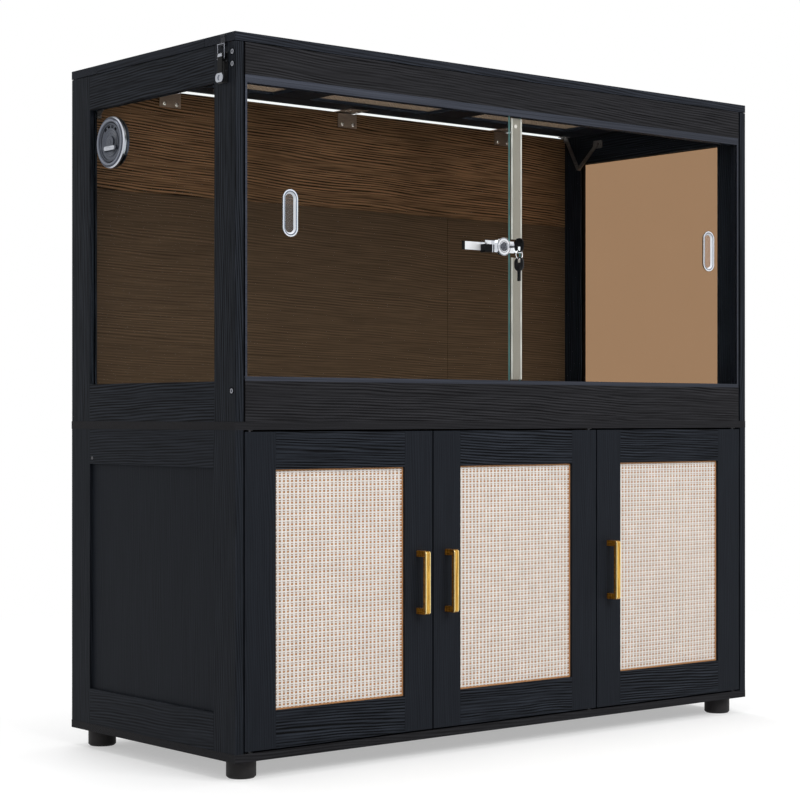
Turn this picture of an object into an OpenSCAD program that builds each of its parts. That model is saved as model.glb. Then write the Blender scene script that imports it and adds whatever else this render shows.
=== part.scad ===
// Terrarium cabinet: a glazed vivarium with a mesh lid on a three-door base cupboard.
// Millimetres, +Z up, front towards -Y. Shapes are written in cabinet coordinates:
// X from the left board edge, Y back from the front face, Z up from the ground.
// place() then moves everything so that the origin is the middle of the footprint.

/* [Cabinet] */
// Width of the boards and the lid
cabinet_w = 1200; // [1100:10:1300]
// Depth of the boards and the lid
cabinet_d = 495; // [480:1:520]
// Thickness of the boards, the header, the apron and the back planks
board_t = 13; // [12:0.5:15]
// Height of the cupboard between the bottom board and the terrarium floor
base_side_h = 507; // [490:1:530]
// Height of the terrarium between its floor and the lid
upper_side_h = 594; // [580:1:620]
// How far the boards stand out past the side frames and the back
board_overhang = 0.5; // [0.5:0.5:2]
// Thickness of the side frames
side_frame_t = 15; // [13:0.5:16]

/* [Feet] */
// Diameter of a foot
foot_d = 48; // [40:1:60]
// Height of a foot
foot_h = 30; // [20:1:50]
// Distance from a foot's centre to the nearest board edges
foot_inset = 38.5; // [30:0.5:60]

/* [Side frames] */
// Front stile of the terrarium side
upper_front_stile_w = 58; // [50:1:70]
// Front stile of the cupboard side
base_front_stile_w = 60; // [50:1:70]
// Rear stile of both sides
rear_stile_w = 59.5; // [50:0.5:70]
// Top rail of the terrarium side
upper_top_rail_h = 59; // [50:1:70]
// Bottom rail of the terrarium side
upper_bottom_rail_h = 63.5; // [50:0.5:75]
// Top and bottom rails of the cupboard side
base_rail_h = 60; // [50:1:70]
// Thickness of the side glass
side_glass_t = 3; // [2:0.5:3]
// Distance of the side glass from the board edge
side_glass_x = 8.5; // [7:0.5:8.5]
// Thickness of the cupboard side panel
side_panel_t = 5; // [3:0.5:5]
// Distance of the cupboard side panel from the board edge
side_panel_x = 6; // [5:0.5:6]

/* [Lid] */
// Thickness of the lid
lid_t = 14; // [12:0.5:18]
// Seam between the lid and the walls
lid_gap = 1; // [0.5:0.5:2]
// Width of the lid's bars beside the windows
lid_bar_w = 82.5; // [60:0.5:100]
// Width of the lid's front and back rails
lid_rail_w = 84.5; // [60:0.5:100]
// Thickness of the mesh sheets
mesh_t = 1.2; // [1:0.1:2]
// Openings from side to side in a mesh sheet
mesh_across = 10; // [6:1:12]
// Openings from front to back in a mesh sheet
mesh_deep = 11; // [6:1:12]
// Width of the bars between a mesh sheet's openings
mesh_bar_w = 6; // [4:0.5:8]

/* [Cupboard doors] */
// Thickness of a door
door_t = 15; // [14:0.5:18]
// Gap around and between the doors
door_gap = 3; // [2:0.5:4]
// Width of the door's stiles and rails
door_stile_w = 60; // [50:1:70]
// Thickness of the woven panel
door_panel_t = 3; // [2:0.5:4]
// Depth of the woven panel behind the door's face
door_panel_y = 5; // [4:0.5:6]
// Length of a door handle
handle_len = 106; // [80:1:140]
// How far a handle stands out
handle_out = 25; // [20:1:35]

/* [Sliding glass] */
// Thickness of the sliding panes
pane_t = 5; // [4:0.5:5]
// Overlap of the two panes in the middle
pane_overlap = 32; // [24:1:40]
// Height of the front header
header_h = 50; // [40:1:60]
// Height of the front apron
apron_h = 64; // [50:1:80]

/* [Lock] */
// Distance of the lock's axis from the left board edge
lock_x = 557; // [540:1:557]
// Height of the lock's axis
lock_z = 864.5; // [800:0.5:900]

/* [Hidden] */
$fn = 48;

// Levels, from the ground up
bottom_z = foot_h;
base_z = bottom_z + board_t;
mid_z = base_z + base_side_h;
floor_z = mid_z + board_t;
wall_top_z = floor_z + upper_side_h;
lid_z = wall_top_z + lid_gap;
lid_top_z = lid_z + lid_t;
header_z = wall_top_z - header_h;
apron_top_z = floor_z + apron_h;

// Planes of the walls
side_out_x = board_overhang;
side_in_x = side_out_x + side_frame_t;
inner_w = cabinet_w - 2 * side_in_x;
right_in_x = cabinet_w - side_in_x;
back_out_y = cabinet_d - board_overhang;
back_in_y = back_out_y - board_t;

// Shadow line between the side frames and what fills the front between them
reveal_w = 4;
reveal_d = 4;
infill_x0 = side_in_x + reveal_w;
infill_x1 = cabinet_w - infill_x0;

// Joinery
joint_gap = 0.2;
groove_depth = 8;
groove_play = 0.15;
edge_play = 1;
fixed_fit = 0.02;
running_fit = 0.05;

// Lid hinges
hinge_y = cabinet_d + 3;
hinge_z = wall_top_z - 2;
hinge_x_outer = 195;
hinge_xs = [hinge_x_outer, cabinet_w / 2, cabinet_w - hinge_x_outer];
hinge_w = 45;
hinge_knuckles = 5;
knuckle_r = 3;
knuckle_gap = 0.15;
hinge_pin_r = 1.25;
leaf_t = 1.5;
leaf_h = 25;
upper_leaf_d = 50;
leaf_edge_y = hinge_y - knuckle_r - 0.5;
leaf_seat_z = wall_top_z - 5;
back_top_z = wall_top_z - 1.5;

// Rabbet along the lid's rear edge, over the back planks
lid_rabbet_y = 473;
lid_rabbet_h = 5;

// Front-most and rear-most points, which centre the footprint
key_front_y = -61;
rear_y = hinge_y + knuckle_r;

// Back planks
back_seam_z = 970;
back_seam_gap = 0.5;
back_seam_x = 343;

// Cupboard
door_count = 3;
door_w = (inner_w - (door_count + 1) * door_gap) / door_count;
door_z0 = base_z + door_gap;
door_z1 = mid_z - door_gap;
pivot_inset = 13;
pivot_y = 7;
pivot_pin_r = 2.5;
pivot_in_door = 14;
pivot_in_board = 9;
bush_r = 4;
bush_len = 10;
bush_flange_r = 6;
bush_flange_t = 1;
divider_x = side_in_x + 2 * door_w + 2.5 * door_gap - board_t / 2;
divider_y = 24;
base_back_t = 5;
base_back_y = 486;
cable_hole_r = 30;
cable_hole_z = 470;
shelf_z = 290;
shelf_t = 15;
shelf_y = 30;
shelf_play = 0.5;
shelf_pin_r = 2.5;
shelf_pin_out = 10;
shelf_pin_in = 8;
shelf_pin_ys = [45, 465];

// Door handles
handle_w = 10;
handle_grip_t = 7;
handle_leg_h = 10;
handle_corner_r = 5;
handle_z = 294;

// Glass tracks, measured back from the front face
track_y = 0.5;
track_wall_t = 1;
track_mid_t = 1.5;
track_groove_w = 6;
track_base_t = 2;
track_floor_h = 7;
track_roof_h = 13;
channel_base_t = 1.5;
channel_w = 4;
front_groove_y = track_y + track_wall_t;
mid_wall_y = front_groove_y + track_groove_w;
rear_groove_y = mid_wall_y + track_mid_t;
rear_wall_y = rear_groove_y + track_groove_w;
track_back_y = rear_wall_y + track_wall_t;
track_play = 0.5;
right_pane_y = front_groove_y + track_play;
left_pane_y = rear_groove_y + track_play;
pane_z0 = apron_top_z + track_base_t + 0.3;
pane_z1 = header_z - track_base_t - 3;
pane_end_x = infill_x0 + channel_base_t + track_play;
pane_meet_x = cabinet_w / 2;
left_pane_x1 = pane_meet_x + pane_overlap / 2;
right_pane_x0 = pane_meet_x - pane_overlap / 2;

// Finger pulls
pull_w = 30;
pull_h = 76;
pull_r = 14.5;
pull_wall = 2;
pull_bottom = 1;
pull_play = 0.2;
left_pull_x = 114;
left_pull_z = 896;
right_pull_x = cabinet_w - 104;
right_pull_z = 885;

// Ratchet lock
bar_x0 = 480;
bar_h = 14;
bar_y = 7.3;
bar_t = 1.2;
bar_hook_t = 1.5;
bar_hook_lip = 7;
bar_hook_y1 = left_pane_y + pane_t + 1.5;
lock_body_x0 = lock_x - 37;
lock_body_x1 = right_pane_x0 - 0.4;
lock_body_y0 = -8;
lock_body_y1 = 8.6;
lock_body_h = 20;
lock_nose_w = 18;
lock_nose_y = -4;
lock_slot_y = 7;
lock_slot_h = 16;
collar_r = 15.5;
collar_y = -12;
collar_t = 6;
plug_r = 8;
plug_y0 = -12.8;
plug_y1 = 5.8;
key_blade_t = 2;
key_blade_h = 7;
key_blade_y1 = -1;
bow_w = 22;
bow_h = 24;
bow_t = 2.4;
bow_corner_r = 10;
bow_eye_w = 8;
bow_eye_top = 2.5;
bow_bar_r = 1.2;
bow_y = key_front_y + bow_w / 2;
bow_bar_drop = bow_h / 2 - 1;
ring_r = 7.5;
ring_wire_r = 0.8;
ring_hang = 2.3;
ring_sleeve = 4;
ring_sleeve_r = 0.95;
ring_z = lock_z - bow_bar_drop + ring_hang - ring_r;
spare_bow_z = ring_z - ring_r + ring_hang - bow_bar_drop;
spare_blade_len = 17;

// Vent in the left glass
vent_y = 373.5;
vent_z = 1037;
vent_hole_r = 38;
vent_rim_r = 44;
vent_mouth_r = 34.3;
vent_dial_r = 33.8;
vent_hub_r = 3;
vent_slot_r0 = 14;
vent_slot_r1 = 29;
vent_slot_arc = 15;
vent_slot_pitch = 24;
vent_slots = 4;

// Lid stays: side pivot, lid pivot and the elbow between them, as [y, z]
stay_side_pivot = [384, wall_top_z - 22];
stay_lid_pivot = [470, wall_top_z - 6];
stay_arm_len = 70;
stay_arm_w = 8;
stay_arm_t = 2;
stay_stud_r = 2;
stay_head_r = 3.3;
stay_lower_x = side_in_x + 1.8;
stay_upper_x = stay_lower_x + stay_arm_t + 1.4;
stay_span = stay_lid_pivot - stay_side_pivot;
stay_reach = norm(stay_span);
stay_sag = sqrt(pow(stay_arm_len, 2) - pow(stay_reach / 2, 2));
stay_elbow = (stay_side_pivot + stay_lid_pivot) / 2
    + stay_sag / stay_reach * [stay_span[1], -stay_span[0]];

// Toggle latches on the lid's edges
latch_y = 32;
latch_base_w = 26;
latch_base_z = wall_top_z - 63;
latch_base_h = 48;
latch_base_t = 1.5;
latch_pivot_x = -4.5;
latch_pivot_z = wall_top_z - 19;
latch_ear_r = 3.4;
latch_ear_t = 1.5;
latch_lever_w = 12;
latch_pin_r = 1.2;
latch_barrel_r = 2.8;
latch_plate_t = 1.8;
latch_tip_w = 20;
latch_tip_h = 14;
latch_tip_t = 3;
latch_tip_r = 6;
bail_pivot_drop = 6;
bail_w = 18;
bail_r = 0.8;
bail_rod_r = 0.9;
bail_rod_out = 1.3;
bail_eye_r = 1.9;
bail_len = 23;
catch_lip_x = -3.3;
catch_lip_z = lid_z - 6;
catch_w = 13;

// Frame bolts, as [y, z], with their heads let into the side frames
bolt_spots = [[8.2, wall_top_z - 16], [8.2, wall_top_z - 35], [10, floor_z + 48]];
bolt_r = 2;
bolt_head_r = 4;
bolt_head_t = 2.2;
bolt_seat_x = side_out_x + 1.6;
bolt_sink_r = 6;
bolt_len = 32;

// Colours
black_wood = [0.17, 0.17, 0.18];
inner_wood = [0.24, 0.20, 0.17];
alloy = [0.55, 0.57, 0.62];
steel = [0.70, 0.70, 0.72];
chrome = [0.85, 0.85, 0.87];
dark_metal = [0.12, 0.12, 0.13];
brass = [0.80, 0.62, 0.20];
glass = [0.75, 0.88, 0.86, 0.35];
clear_plastic = [0.90, 0.94, 0.96, 0.6];
black_plastic = [0.08, 0.08, 0.09];
weave = [0.88, 0.82, 0.72];
mesh_grey = [0.30, 0.30, 0.32];
pin_grey = [0.60, 0.60, 0.60];

// ---- Helpers ----

module place() {
    translate([-cabinet_w / 2, -(key_front_y + rear_y) / 2, 0]) children();
}

module block(low, high) {
    translate(low) cube(high - low);
}

module rod_x(x0, x1, y, z, r) {
    translate([x0, y, z]) rotate([0, 90, 0]) cylinder(h = x1 - x0, r = r);
}

module rod_y(y0, y1, x, z, r) {
    translate([x, y0, z]) rotate([-90, 0, 0]) cylinder(h = y1 - y0, r = r);
}

module rod_z(z0, z1, x, y, r) {
    translate([x, y, z0]) cylinder(h = z1 - z0, r = r);
}

// An outline in (y, z), drawn out along X
module extrude_x(x0, x1) {
    translate([x0, 0, 0]) rotate([90, 0, 90]) linear_extrude(x1 - x0) children();
}

// An outline in (x, z), drawn out along Y
module extrude_y(y0, y1) {
    translate([0, y1, 0]) rotate([90, 0, 0]) linear_extrude(y1 - y0) children();
}

// The left side's parts again on the right
module on_right() {
    translate([cabinet_w, 0, 0]) mirror([1, 0, 0]) children();
}

module on_both_sides() {
    children();
    on_right() children();
}

// A rectangle with round corners, about its middle
module round_rect(w, h, r) {
    square([w - 2 * r, h], center = true);
    square([w, h - 2 * r], center = true);
    for (sx = [-1, 1], sy = [-1, 1])
        translate([sx * (w / 2 - r), sy * (h / 2 - r)]) circle(r);
}

// A bar with round ends, from a to b
module round_bar(a, b, w) {
    length = norm(b - a);
    translate(a) rotate(atan2(b[1] - a[1], b[0] - a[0])) {
        translate([0, -w / 2]) square([length, w]);
        circle(w / 2);
        translate([length, 0]) circle(w / 2);
    }
}

// ---- Base cupboard ----

module feet() place() color(black_plastic)
    for (x = [foot_inset, cabinet_w - foot_inset], y = [foot_inset, cabinet_d - foot_inset])
        translate([x, y, 0]) rotate_extrude()
            polygon([[0, 0], [foot_d / 2 - 3, 0], [foot_d / 2, 3], [foot_d / 2, foot_h], [0, foot_h]]);

function pivot_x(i) = i == 1 ? door_x0(i) + pivot_inset : door_x0(i) + door_w - pivot_inset;

function door_x0(i) = side_in_x + door_gap + (i - 1) * (door_w + door_gap);

module pivot_sockets(z0) {
    for (i = [1:door_count])
        rod_z(z0, z0 + bush_len, pivot_x(i), pivot_y, bush_r + fixed_fit);
}

module bottom_board() place() color(black_wood)
    difference() {
        block([0, 0, bottom_z], [cabinet_w, cabinet_d, base_z]);
        pivot_sockets(base_z - bush_len);
    }

module terrarium_floor() place() color(black_wood)
    difference() {
        block([0, 0, mid_z], [cabinet_w, cabinet_d, floor_z]);
        pivot_sockets(mid_z);
    }

// Four members around an opening, grooved for a panel
module side_frame(z0, z1, front_w, bottom_h, top_h, panel_x, panel_t) {
    open_y0 = front_w;
    open_y1 = back_out_y - rear_stile_w;
    difference() {
        union() {
            block([side_out_x, 0, z0], [side_in_x, open_y0, z1]);
            block([side_out_x, open_y1, z0], [side_in_x, back_out_y, z1]);
            for (span = [[z0, z0 + bottom_h], [z1 - top_h, z1]])
                block([side_out_x, open_y0 + joint_gap, span[0]],
                      [side_in_x, open_y1 - joint_gap, span[1]]);
        }
        block([panel_x - groove_play, open_y0 - groove_depth, z0 + bottom_h - groove_depth],
              [panel_x + panel_t + groove_play, open_y1 + groove_depth,
               z1 - top_h + groove_depth]);
    }
}

module side_panel(z0, z1, front_w, bottom_h, top_h, panel_x, panel_t) {
    inset = groove_depth - edge_play;
    block([panel_x, front_w - inset, z0 + bottom_h - inset],
          [panel_x + panel_t, back_out_y - rear_stile_w + inset, z1 - top_h + inset]);
}

module base_side_frames() place() color(black_wood)
    difference() {
        on_both_sides()
            side_frame(base_z, mid_z, base_front_stile_w, base_rail_h, base_rail_h,
                       side_panel_x, side_panel_t);
        on_both_sides() side_shelf_pins(fixed_fit);
    }

module base_side_panels() place() color(black_wood)
    on_both_sides()
        side_panel(base_z, mid_z, base_front_stile_w, base_rail_h, base_rail_h,
                   side_panel_x, side_panel_t);

module base_back_panels() place() color(inner_wood)
    difference() {
        union() {
            block([side_in_x, base_back_y, base_z],
                  [divider_x + board_t / 2 - joint_gap, base_back_y + base_back_t, mid_z]);
            block([divider_x + board_t / 2, base_back_y, base_z],
                  [right_in_x, base_back_y + base_back_t, mid_z]);
        }
        for (x = [cabinet_w / 3, cabinet_w * 5 / 6])
            rod_y(base_back_y - 1, base_back_y + base_back_t + 1, x, cable_hole_z, cable_hole_r);
    }

module base_divider() place() color(inner_wood)
    difference() {
        block([divider_x, divider_y, base_z], [divider_x + board_t, base_back_y, mid_z]);
        middle_shelf_pins(fixed_fit);
    }

module base_shelves() place() color(inner_wood) {
    shelf_y1 = base_back_y - 1;
    block([side_in_x + shelf_play, shelf_y, shelf_z],
          [divider_x - shelf_play, shelf_y1, shelf_z + shelf_t]);
    block([divider_x + board_t + shelf_play, shelf_y, shelf_z],
          [right_in_x - shelf_play, shelf_y1, shelf_z + shelf_t]);
}

module side_shelf_pins(grow) {
    for (y = shelf_pin_ys)
        rod_x(side_in_x - shelf_pin_in, side_in_x + shelf_pin_out, y,
              shelf_z - shelf_pin_r, shelf_pin_r + grow);
}

module middle_shelf_pins(grow) {
    for (y = shelf_pin_ys)
        rod_x(divider_x - shelf_pin_out, divider_x + board_t + shelf_pin_out, y,
              shelf_z - shelf_pin_r, shelf_pin_r + grow);
}

module shelf_pins() place() color(pin_grey) {
    on_both_sides() side_shelf_pins(0);
    middle_shelf_pins(0);
}

module door_pivot_bushes() place() color(pin_grey)
    for (i = [1:door_count])
        difference() {
            union() {
                rod_z(base_z - bush_len, base_z, pivot_x(i), pivot_y, bush_r);
                rod_z(base_z, base_z + bush_flange_t, pivot_x(i), pivot_y, bush_flange_r);
                rod_z(mid_z, mid_z + bush_len, pivot_x(i), pivot_y, bush_r);
                rod_z(mid_z - bush_flange_t, mid_z, pivot_x(i), pivot_y, bush_flange_r);
            }
            rod_z(bottom_z, floor_z, pivot_x(i), pivot_y, pivot_pin_r + running_fit);
        }

// ---- Cupboard doors ----

module door_frame(i) place() color(black_wood) {
    x0 = door_x0(i);
    x1 = x0 + door_w;
    difference() {
        union() {
            block([x0, 0, door_z0], [x0 + door_stile_w, door_t, door_z1]);
            block([x1 - door_stile_w, 0, door_z0], [x1, door_t, door_z1]);
            for (z = [door_z0, door_z1 - door_stile_w])
                block([x0 + door_stile_w + joint_gap, 0, z],
                      [x1 - door_stile_w - joint_gap, door_t, z + door_stile_w]);
        }
        block([x0 + door_stile_w - groove_depth, door_panel_y - groove_play,
               door_z0 + door_stile_w - groove_depth],
              [x1 - door_stile_w + groove_depth, door_panel_y + door_panel_t + groove_play,
               door_z1 - door_stile_w + groove_depth]);
        pivot_pins(i, fixed_fit);
    }
}

module door_panel(i) place() color(weave) {
    inset = door_stile_w - groove_depth + edge_play;
    block([door_x0(i) + inset, door_panel_y, door_z0 + inset],
          [door_x0(i) + door_w - inset, door_panel_y + door_panel_t, door_z1 - inset]);
}

module door_handle(i) place() color(brass) {
    x = i == 1 ? door_x0(i) + door_w - door_stile_w / 2 : door_x0(i) + door_stile_w / 2;
    inner_h = handle_len - 2 * handle_leg_h;
    extrude_x(x - handle_w / 2, x + handle_w / 2) translate([0, handle_z])
        difference() {
            intersection() {
                round_rect(2 * handle_out, handle_len, handle_corner_r);
                translate([-handle_out, -handle_len / 2]) square([handle_out, handle_len]);
            }
            translate([handle_grip_t - handle_out, -inner_h / 2]) square([handle_out, inner_h]);
        }
}

module pivot_pins(i, grow) {
    rod_z(base_z - pivot_in_board, door_z0 + pivot_in_door, pivot_x(i), pivot_y,
          pivot_pin_r + grow);
    rod_z(door_z1 - pivot_in_door, mid_z + pivot_in_board, pivot_x(i), pivot_y,
          pivot_pin_r + grow);
}

module door_pivots(i) place() color(steel) pivot_pins(i, 0);

// ---- Terrarium walls ----

module bolt_shanks(grow) {
    for (spot = bolt_spots)
        rod_x(bolt_seat_x, side_out_x + bolt_len, spot[0], spot[1], bolt_r + grow);
}

module upper_side_frames() place() color(black_wood)
    difference() {
        on_both_sides() {
            side_frame(floor_z, wall_top_z, upper_front_stile_w, upper_bottom_rail_h,
                       upper_top_rail_h, side_glass_x, side_glass_t);
            block([side_in_x - 1, reveal_d, floor_z], [infill_x0, track_back_y, wall_top_z]);
        }
        on_both_sides() bolt_shanks(fixed_fit);
        on_both_sides() for (spot = bolt_spots)
            rod_x(0, bolt_seat_x, spot[0], spot[1], bolt_sink_r);
    }

module side_glass() place() color(glass)
    difference() {
        on_both_sides()
            side_panel(floor_z, wall_top_z, upper_front_stile_w, upper_bottom_rail_h,
                       upper_top_rail_h, side_glass_x, side_glass_t);
        rod_x(0, side_in_x, vent_y, vent_z, vent_hole_r + running_fit);
    }

module back_upper_plank() place() color(inner_wood)
    difference() {
        block([side_in_x, back_in_y, back_seam_z], [right_in_x, back_out_y, back_top_z]);
        for (x = hinge_xs) {
            block([x - hinge_w / 2 - joint_gap, back_in_y - 1, leaf_seat_z],
                  [x + hinge_w / 2 + joint_gap, back_out_y + 1, back_top_z + 1]);
        }
    }

module back_lower_boards() place() color(inner_wood) {
    seams = [side_in_x, back_seam_x, cabinet_w - back_seam_x, right_in_x + back_seam_gap];
    for (i = [0:2])
        block([seams[i], back_in_y, floor_z],
              [seams[i + 1] - back_seam_gap, back_out_y, back_seam_z - back_seam_gap]);
}

module header_board() place() color(black_wood)
    difference() {
        block([infill_x0, 0, header_z], [infill_x1, board_t, wall_top_z]);
        on_both_sides() bolt_shanks(fixed_fit);
    }

module apron_board() place() color(black_wood)
    difference() {
        block([infill_x0, 0, floor_z], [infill_x1, board_t, apron_top_z]);
        on_both_sides() bolt_shanks(fixed_fit);
    }

// Two-groove section: a base with three walls, as (depth, height)
module track_section(base_h, wall_h) {
    translate([track_y, 0]) square([track_back_y - track_y, base_h]);
    translate([track_y, 0]) square([track_wall_t, wall_h]);
    translate([mid_wall_y, 0]) square([track_mid_t, wall_h]);
    translate([rear_wall_y, 0]) square([track_wall_t, wall_h]);
}

module bottom_track() place() color(alloy)
    translate([0, 0, apron_top_z])
        extrude_x(infill_x0, infill_x1) track_section(track_base_t, track_floor_h);

module top_track() place() color(alloy)
    translate([0, 0, header_z]) mirror([0, 0, 1])
        extrude_x(infill_x0, infill_x1) track_section(track_base_t, track_roof_h);

module side_channels() place() color(alloy)
    on_both_sides()
        translate([infill_x0, 0, apron_top_z + track_floor_h])
            linear_extrude(header_z - track_roof_h - apron_top_z - track_floor_h)
                mirror([1, -1, 0]) track_section(channel_base_t, channel_w);

module frame_bolts() place() color(steel)
    on_both_sides() {
        bolt_shanks(0);
        for (spot = bolt_spots)
            difference() {
                rod_x(bolt_seat_x - bolt_head_t, bolt_seat_x, spot[0], spot[1], bolt_head_r);
                rod_x(bolt_seat_x - bolt_head_t - 1, bolt_seat_x - bolt_head_t / 2,
                      spot[0], spot[1], bolt_r);
            }
    }

// ---- Vent ----

// A wedge of a ring, centred on the angle given
module vent_wedge(angle) {
    steps = 6;
    arc = [for (k = [0:steps]) angle - vent_slot_arc / 2 + k * vent_slot_arc / steps];
    inner = [for (a = arc) vent_slot_r0 * [cos(a), sin(a)]];
    outer = [for (k = [steps:-1:0]) vent_slot_r1 * [cos(arc[k]), sin(arc[k])]];
    polygon(concat(inner, outer));
}

module vent_slots(x0, x1) {
    extrude_x(x0, x1) translate([vent_y, vent_z])
        for (k = [0:vent_slots - 1])
            vent_wedge(90 + (k - (vent_slots - 1) / 2) * vent_slot_pitch);
}

module vent_ring() place() color(alloy) {
    plate_x0 = 9.5;
    plate_x1 = 11.5;
    difference() {
        union() {
            translate([0, vent_y, vent_z]) rotate([0, 90, 0]) rotate_extrude()
                polygon([[vent_mouth_r, 3], [36, 1], [39, 1], [40, 2.6], [42, 2.6],
                         [vent_rim_r, 4.6], [vent_rim_r, side_glass_x], [vent_hole_r, side_glass_x],
                         [vent_hole_r, side_glass_x + side_glass_t], [42, side_glass_x + side_glass_t],
                         [42, side_in_x + 0.4], [vent_mouth_r, side_in_x + 0.4]]);
            rod_x(plate_x0, plate_x1, vent_y, vent_z, vent_mouth_r + 0.5);
        }
        vent_slots(plate_x0 - 1, plate_x1 + 1);
    }
    rod_x(2.4, plate_x0, vent_y, vent_z, vent_hub_r);
}

module vent_dial() place() color(alloy) {
    disc_x0 = 4.5;
    disc_x1 = 7.5;
    grip_x = 1.2;
    difference() {
        union() {
            rod_x(disc_x0, disc_x1, vent_y, vent_z, vent_dial_r);
            translate([0, vent_y, vent_z]) rotate([0, 90, 0]) rotate_extrude()
                polygon([[30.5, disc_x0], [31, 3], [32.8, 3], [vent_dial_r, disc_x0]]);
            rod_x(grip_x + 1.4, disc_x0, vent_y, vent_z, 11);
            extrude_x(grip_x, disc_x0)
                round_bar([vent_y - 17, vent_z - 10], [vent_y + 17, vent_z - 10], 8);
        }
        vent_slots(disc_x0 - 1, disc_x1 + 1);
        rod_x(0, side_in_x, vent_y, vent_z, vent_hub_r + running_fit);
    }
}

// ---- Lid ----

lid_window_w = (cabinet_w - 4 * lid_bar_w) / 3;

module lid_windows(grow, z0, z1) {
    for (i = [0:2]) {
        x0 = lid_bar_w + i * (lid_window_w + lid_bar_w);
        block([x0 - grow, lid_rail_w - grow, z0],
              [x0 + lid_window_w + grow, cabinet_d - lid_rail_w + grow, z1]);
    }
}

module lid_frame() place() color(black_wood) {
    mesh_z = lid_z + (lid_t - mesh_t) / 2;
    difference() {
        union() {
            block([0, 0, lid_z], [cabinet_w, lid_rail_w, lid_top_z]);
            block([0, cabinet_d - lid_rail_w, lid_z], [cabinet_w, cabinet_d, lid_top_z]);
            for (i = [0:3]) {
                x0 = i * (lid_window_w + lid_bar_w);
                block([x0, lid_rail_w + joint_gap, lid_z],
                      [x0 + lid_bar_w, cabinet_d - lid_rail_w - joint_gap, lid_top_z]);
            }
        }
        lid_windows(groove_depth, mesh_z - groove_play, mesh_z + mesh_t + groove_play);
        block([side_in_x, lid_rabbet_y, lid_z - 1],
              [right_in_x, cabinet_d + 1, lid_z + lid_rabbet_h]);
    }
}

// The openings of one window's mesh sheet, from the window's left side
module mesh_openings(x0, z0, z1) {
    step_x = lid_window_w / mesh_across;
    step_y = (cabinet_d - 2 * lid_rail_w) / mesh_deep;
    for (i = [0:mesh_across - 1]) {
        for (k = [0:mesh_deep - 1]) {
            x = x0 + i * step_x;
            y = lid_rail_w + k * step_y;
            block([x + mesh_bar_w / 2, y + mesh_bar_w / 2, z0],
                  [x + step_x - mesh_bar_w / 2, y + step_y - mesh_bar_w / 2, z1]);
        }
    }
}

module lid_mesh() place() color(mesh_grey) {
    mesh_z = lid_z + (lid_t - mesh_t) / 2;
    difference() {
        lid_windows(groove_depth - edge_play, mesh_z, mesh_z + mesh_t);
        for (i = [0:2]) {
            mesh_openings(lid_bar_w + i * (lid_window_w + lid_bar_w), mesh_z - 1,
                          mesh_z + mesh_t + 1);
        }
    }
}

// Every second knuckle of a hinge, from the first one given
module hinge_knuckles(x, first, tab_z, bore_r) {
    pitch = hinge_w / hinge_knuckles;
    difference() {
        for (k = [first:2:hinge_knuckles - 1]) {
            x0 = x - hinge_w / 2 + k * pitch + knuckle_gap;
            x1 = x - hinge_w / 2 + (k + 1) * pitch - knuckle_gap;
            rod_x(x0, x1, hinge_y, hinge_z, knuckle_r);
            block([x0, leaf_edge_y - 1, tab_z], [x1, hinge_y, tab_z + leaf_t]);
        }
        rod_x(x - hinge_w, x + hinge_w, hinge_y, hinge_z, bore_r);
    }
}

module lid_hinge_lower_leaves() place() color(steel)
    for (x = hinge_xs) {
        bridge_z = leaf_seat_z + joint_gap;
        block([x - hinge_w / 2, back_in_y - leaf_t, bridge_z - leaf_h],
              [x + hinge_w / 2, back_in_y, bridge_z + leaf_t]);
        block([x - hinge_w / 2, back_in_y - leaf_t, bridge_z],
              [x + hinge_w / 2, leaf_edge_y, bridge_z + leaf_t]);
        hinge_knuckles(x, 0, bridge_z, hinge_pin_r + fixed_fit);
    }

module lid_hinge_pins() place() color(steel)
    for (x = hinge_xs) {
        rod_x(x - hinge_w / 2 - 0.5, x + hinge_w / 2 + 0.5, hinge_y, hinge_z, hinge_pin_r);
        for (side = [-1, 1])
            translate([side * (hinge_w / 2 + 0.5), 0, 0])
                rod_x(x - 0.5, x + 0.5, hinge_y, hinge_z, hinge_pin_r + 0.8);
    }

module lid_hinge_upper_leaves() place() color(steel)
    for (x = hinge_xs) {
        block([x - hinge_w / 2, leaf_edge_y - upper_leaf_d, lid_z - leaf_t],
              [x + hinge_w / 2, leaf_edge_y, lid_z]);
        hinge_knuckles(x, 1, lid_z - leaf_t, hinge_pin_r + running_fit);
    }

// ---- Lid stays ----

module stay_side_brackets() place() color(steel)
    on_both_sides() {
        extrude_x(side_in_x, side_in_x + 1.5) translate(stay_side_pivot)
            round_rect(26, 16, 4);
        rod_x(side_in_x, stay_lower_x + stay_arm_t + 0.3, stay_side_pivot[0], stay_side_pivot[1],
              stay_stud_r);
        rod_x(stay_lower_x + stay_arm_t + 0.2, stay_lower_x + stay_arm_t + 0.7,
              stay_side_pivot[0], stay_side_pivot[1], stay_head_r);
    }

module stay_lower_arms() place() color(steel)
    on_both_sides()
        difference() {
            union() {
                extrude_x(stay_lower_x, stay_lower_x + stay_arm_t)
                    round_bar(stay_side_pivot, stay_elbow, stay_arm_w);
                rod_x(stay_lower_x, stay_lower_x + stay_arm_t + 0.5, stay_elbow[0], stay_elbow[1],
                      stay_head_r);
            }
            rod_x(side_in_x, stay_upper_x, stay_side_pivot[0], stay_side_pivot[1],
                  stay_stud_r + running_fit);
        }

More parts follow.
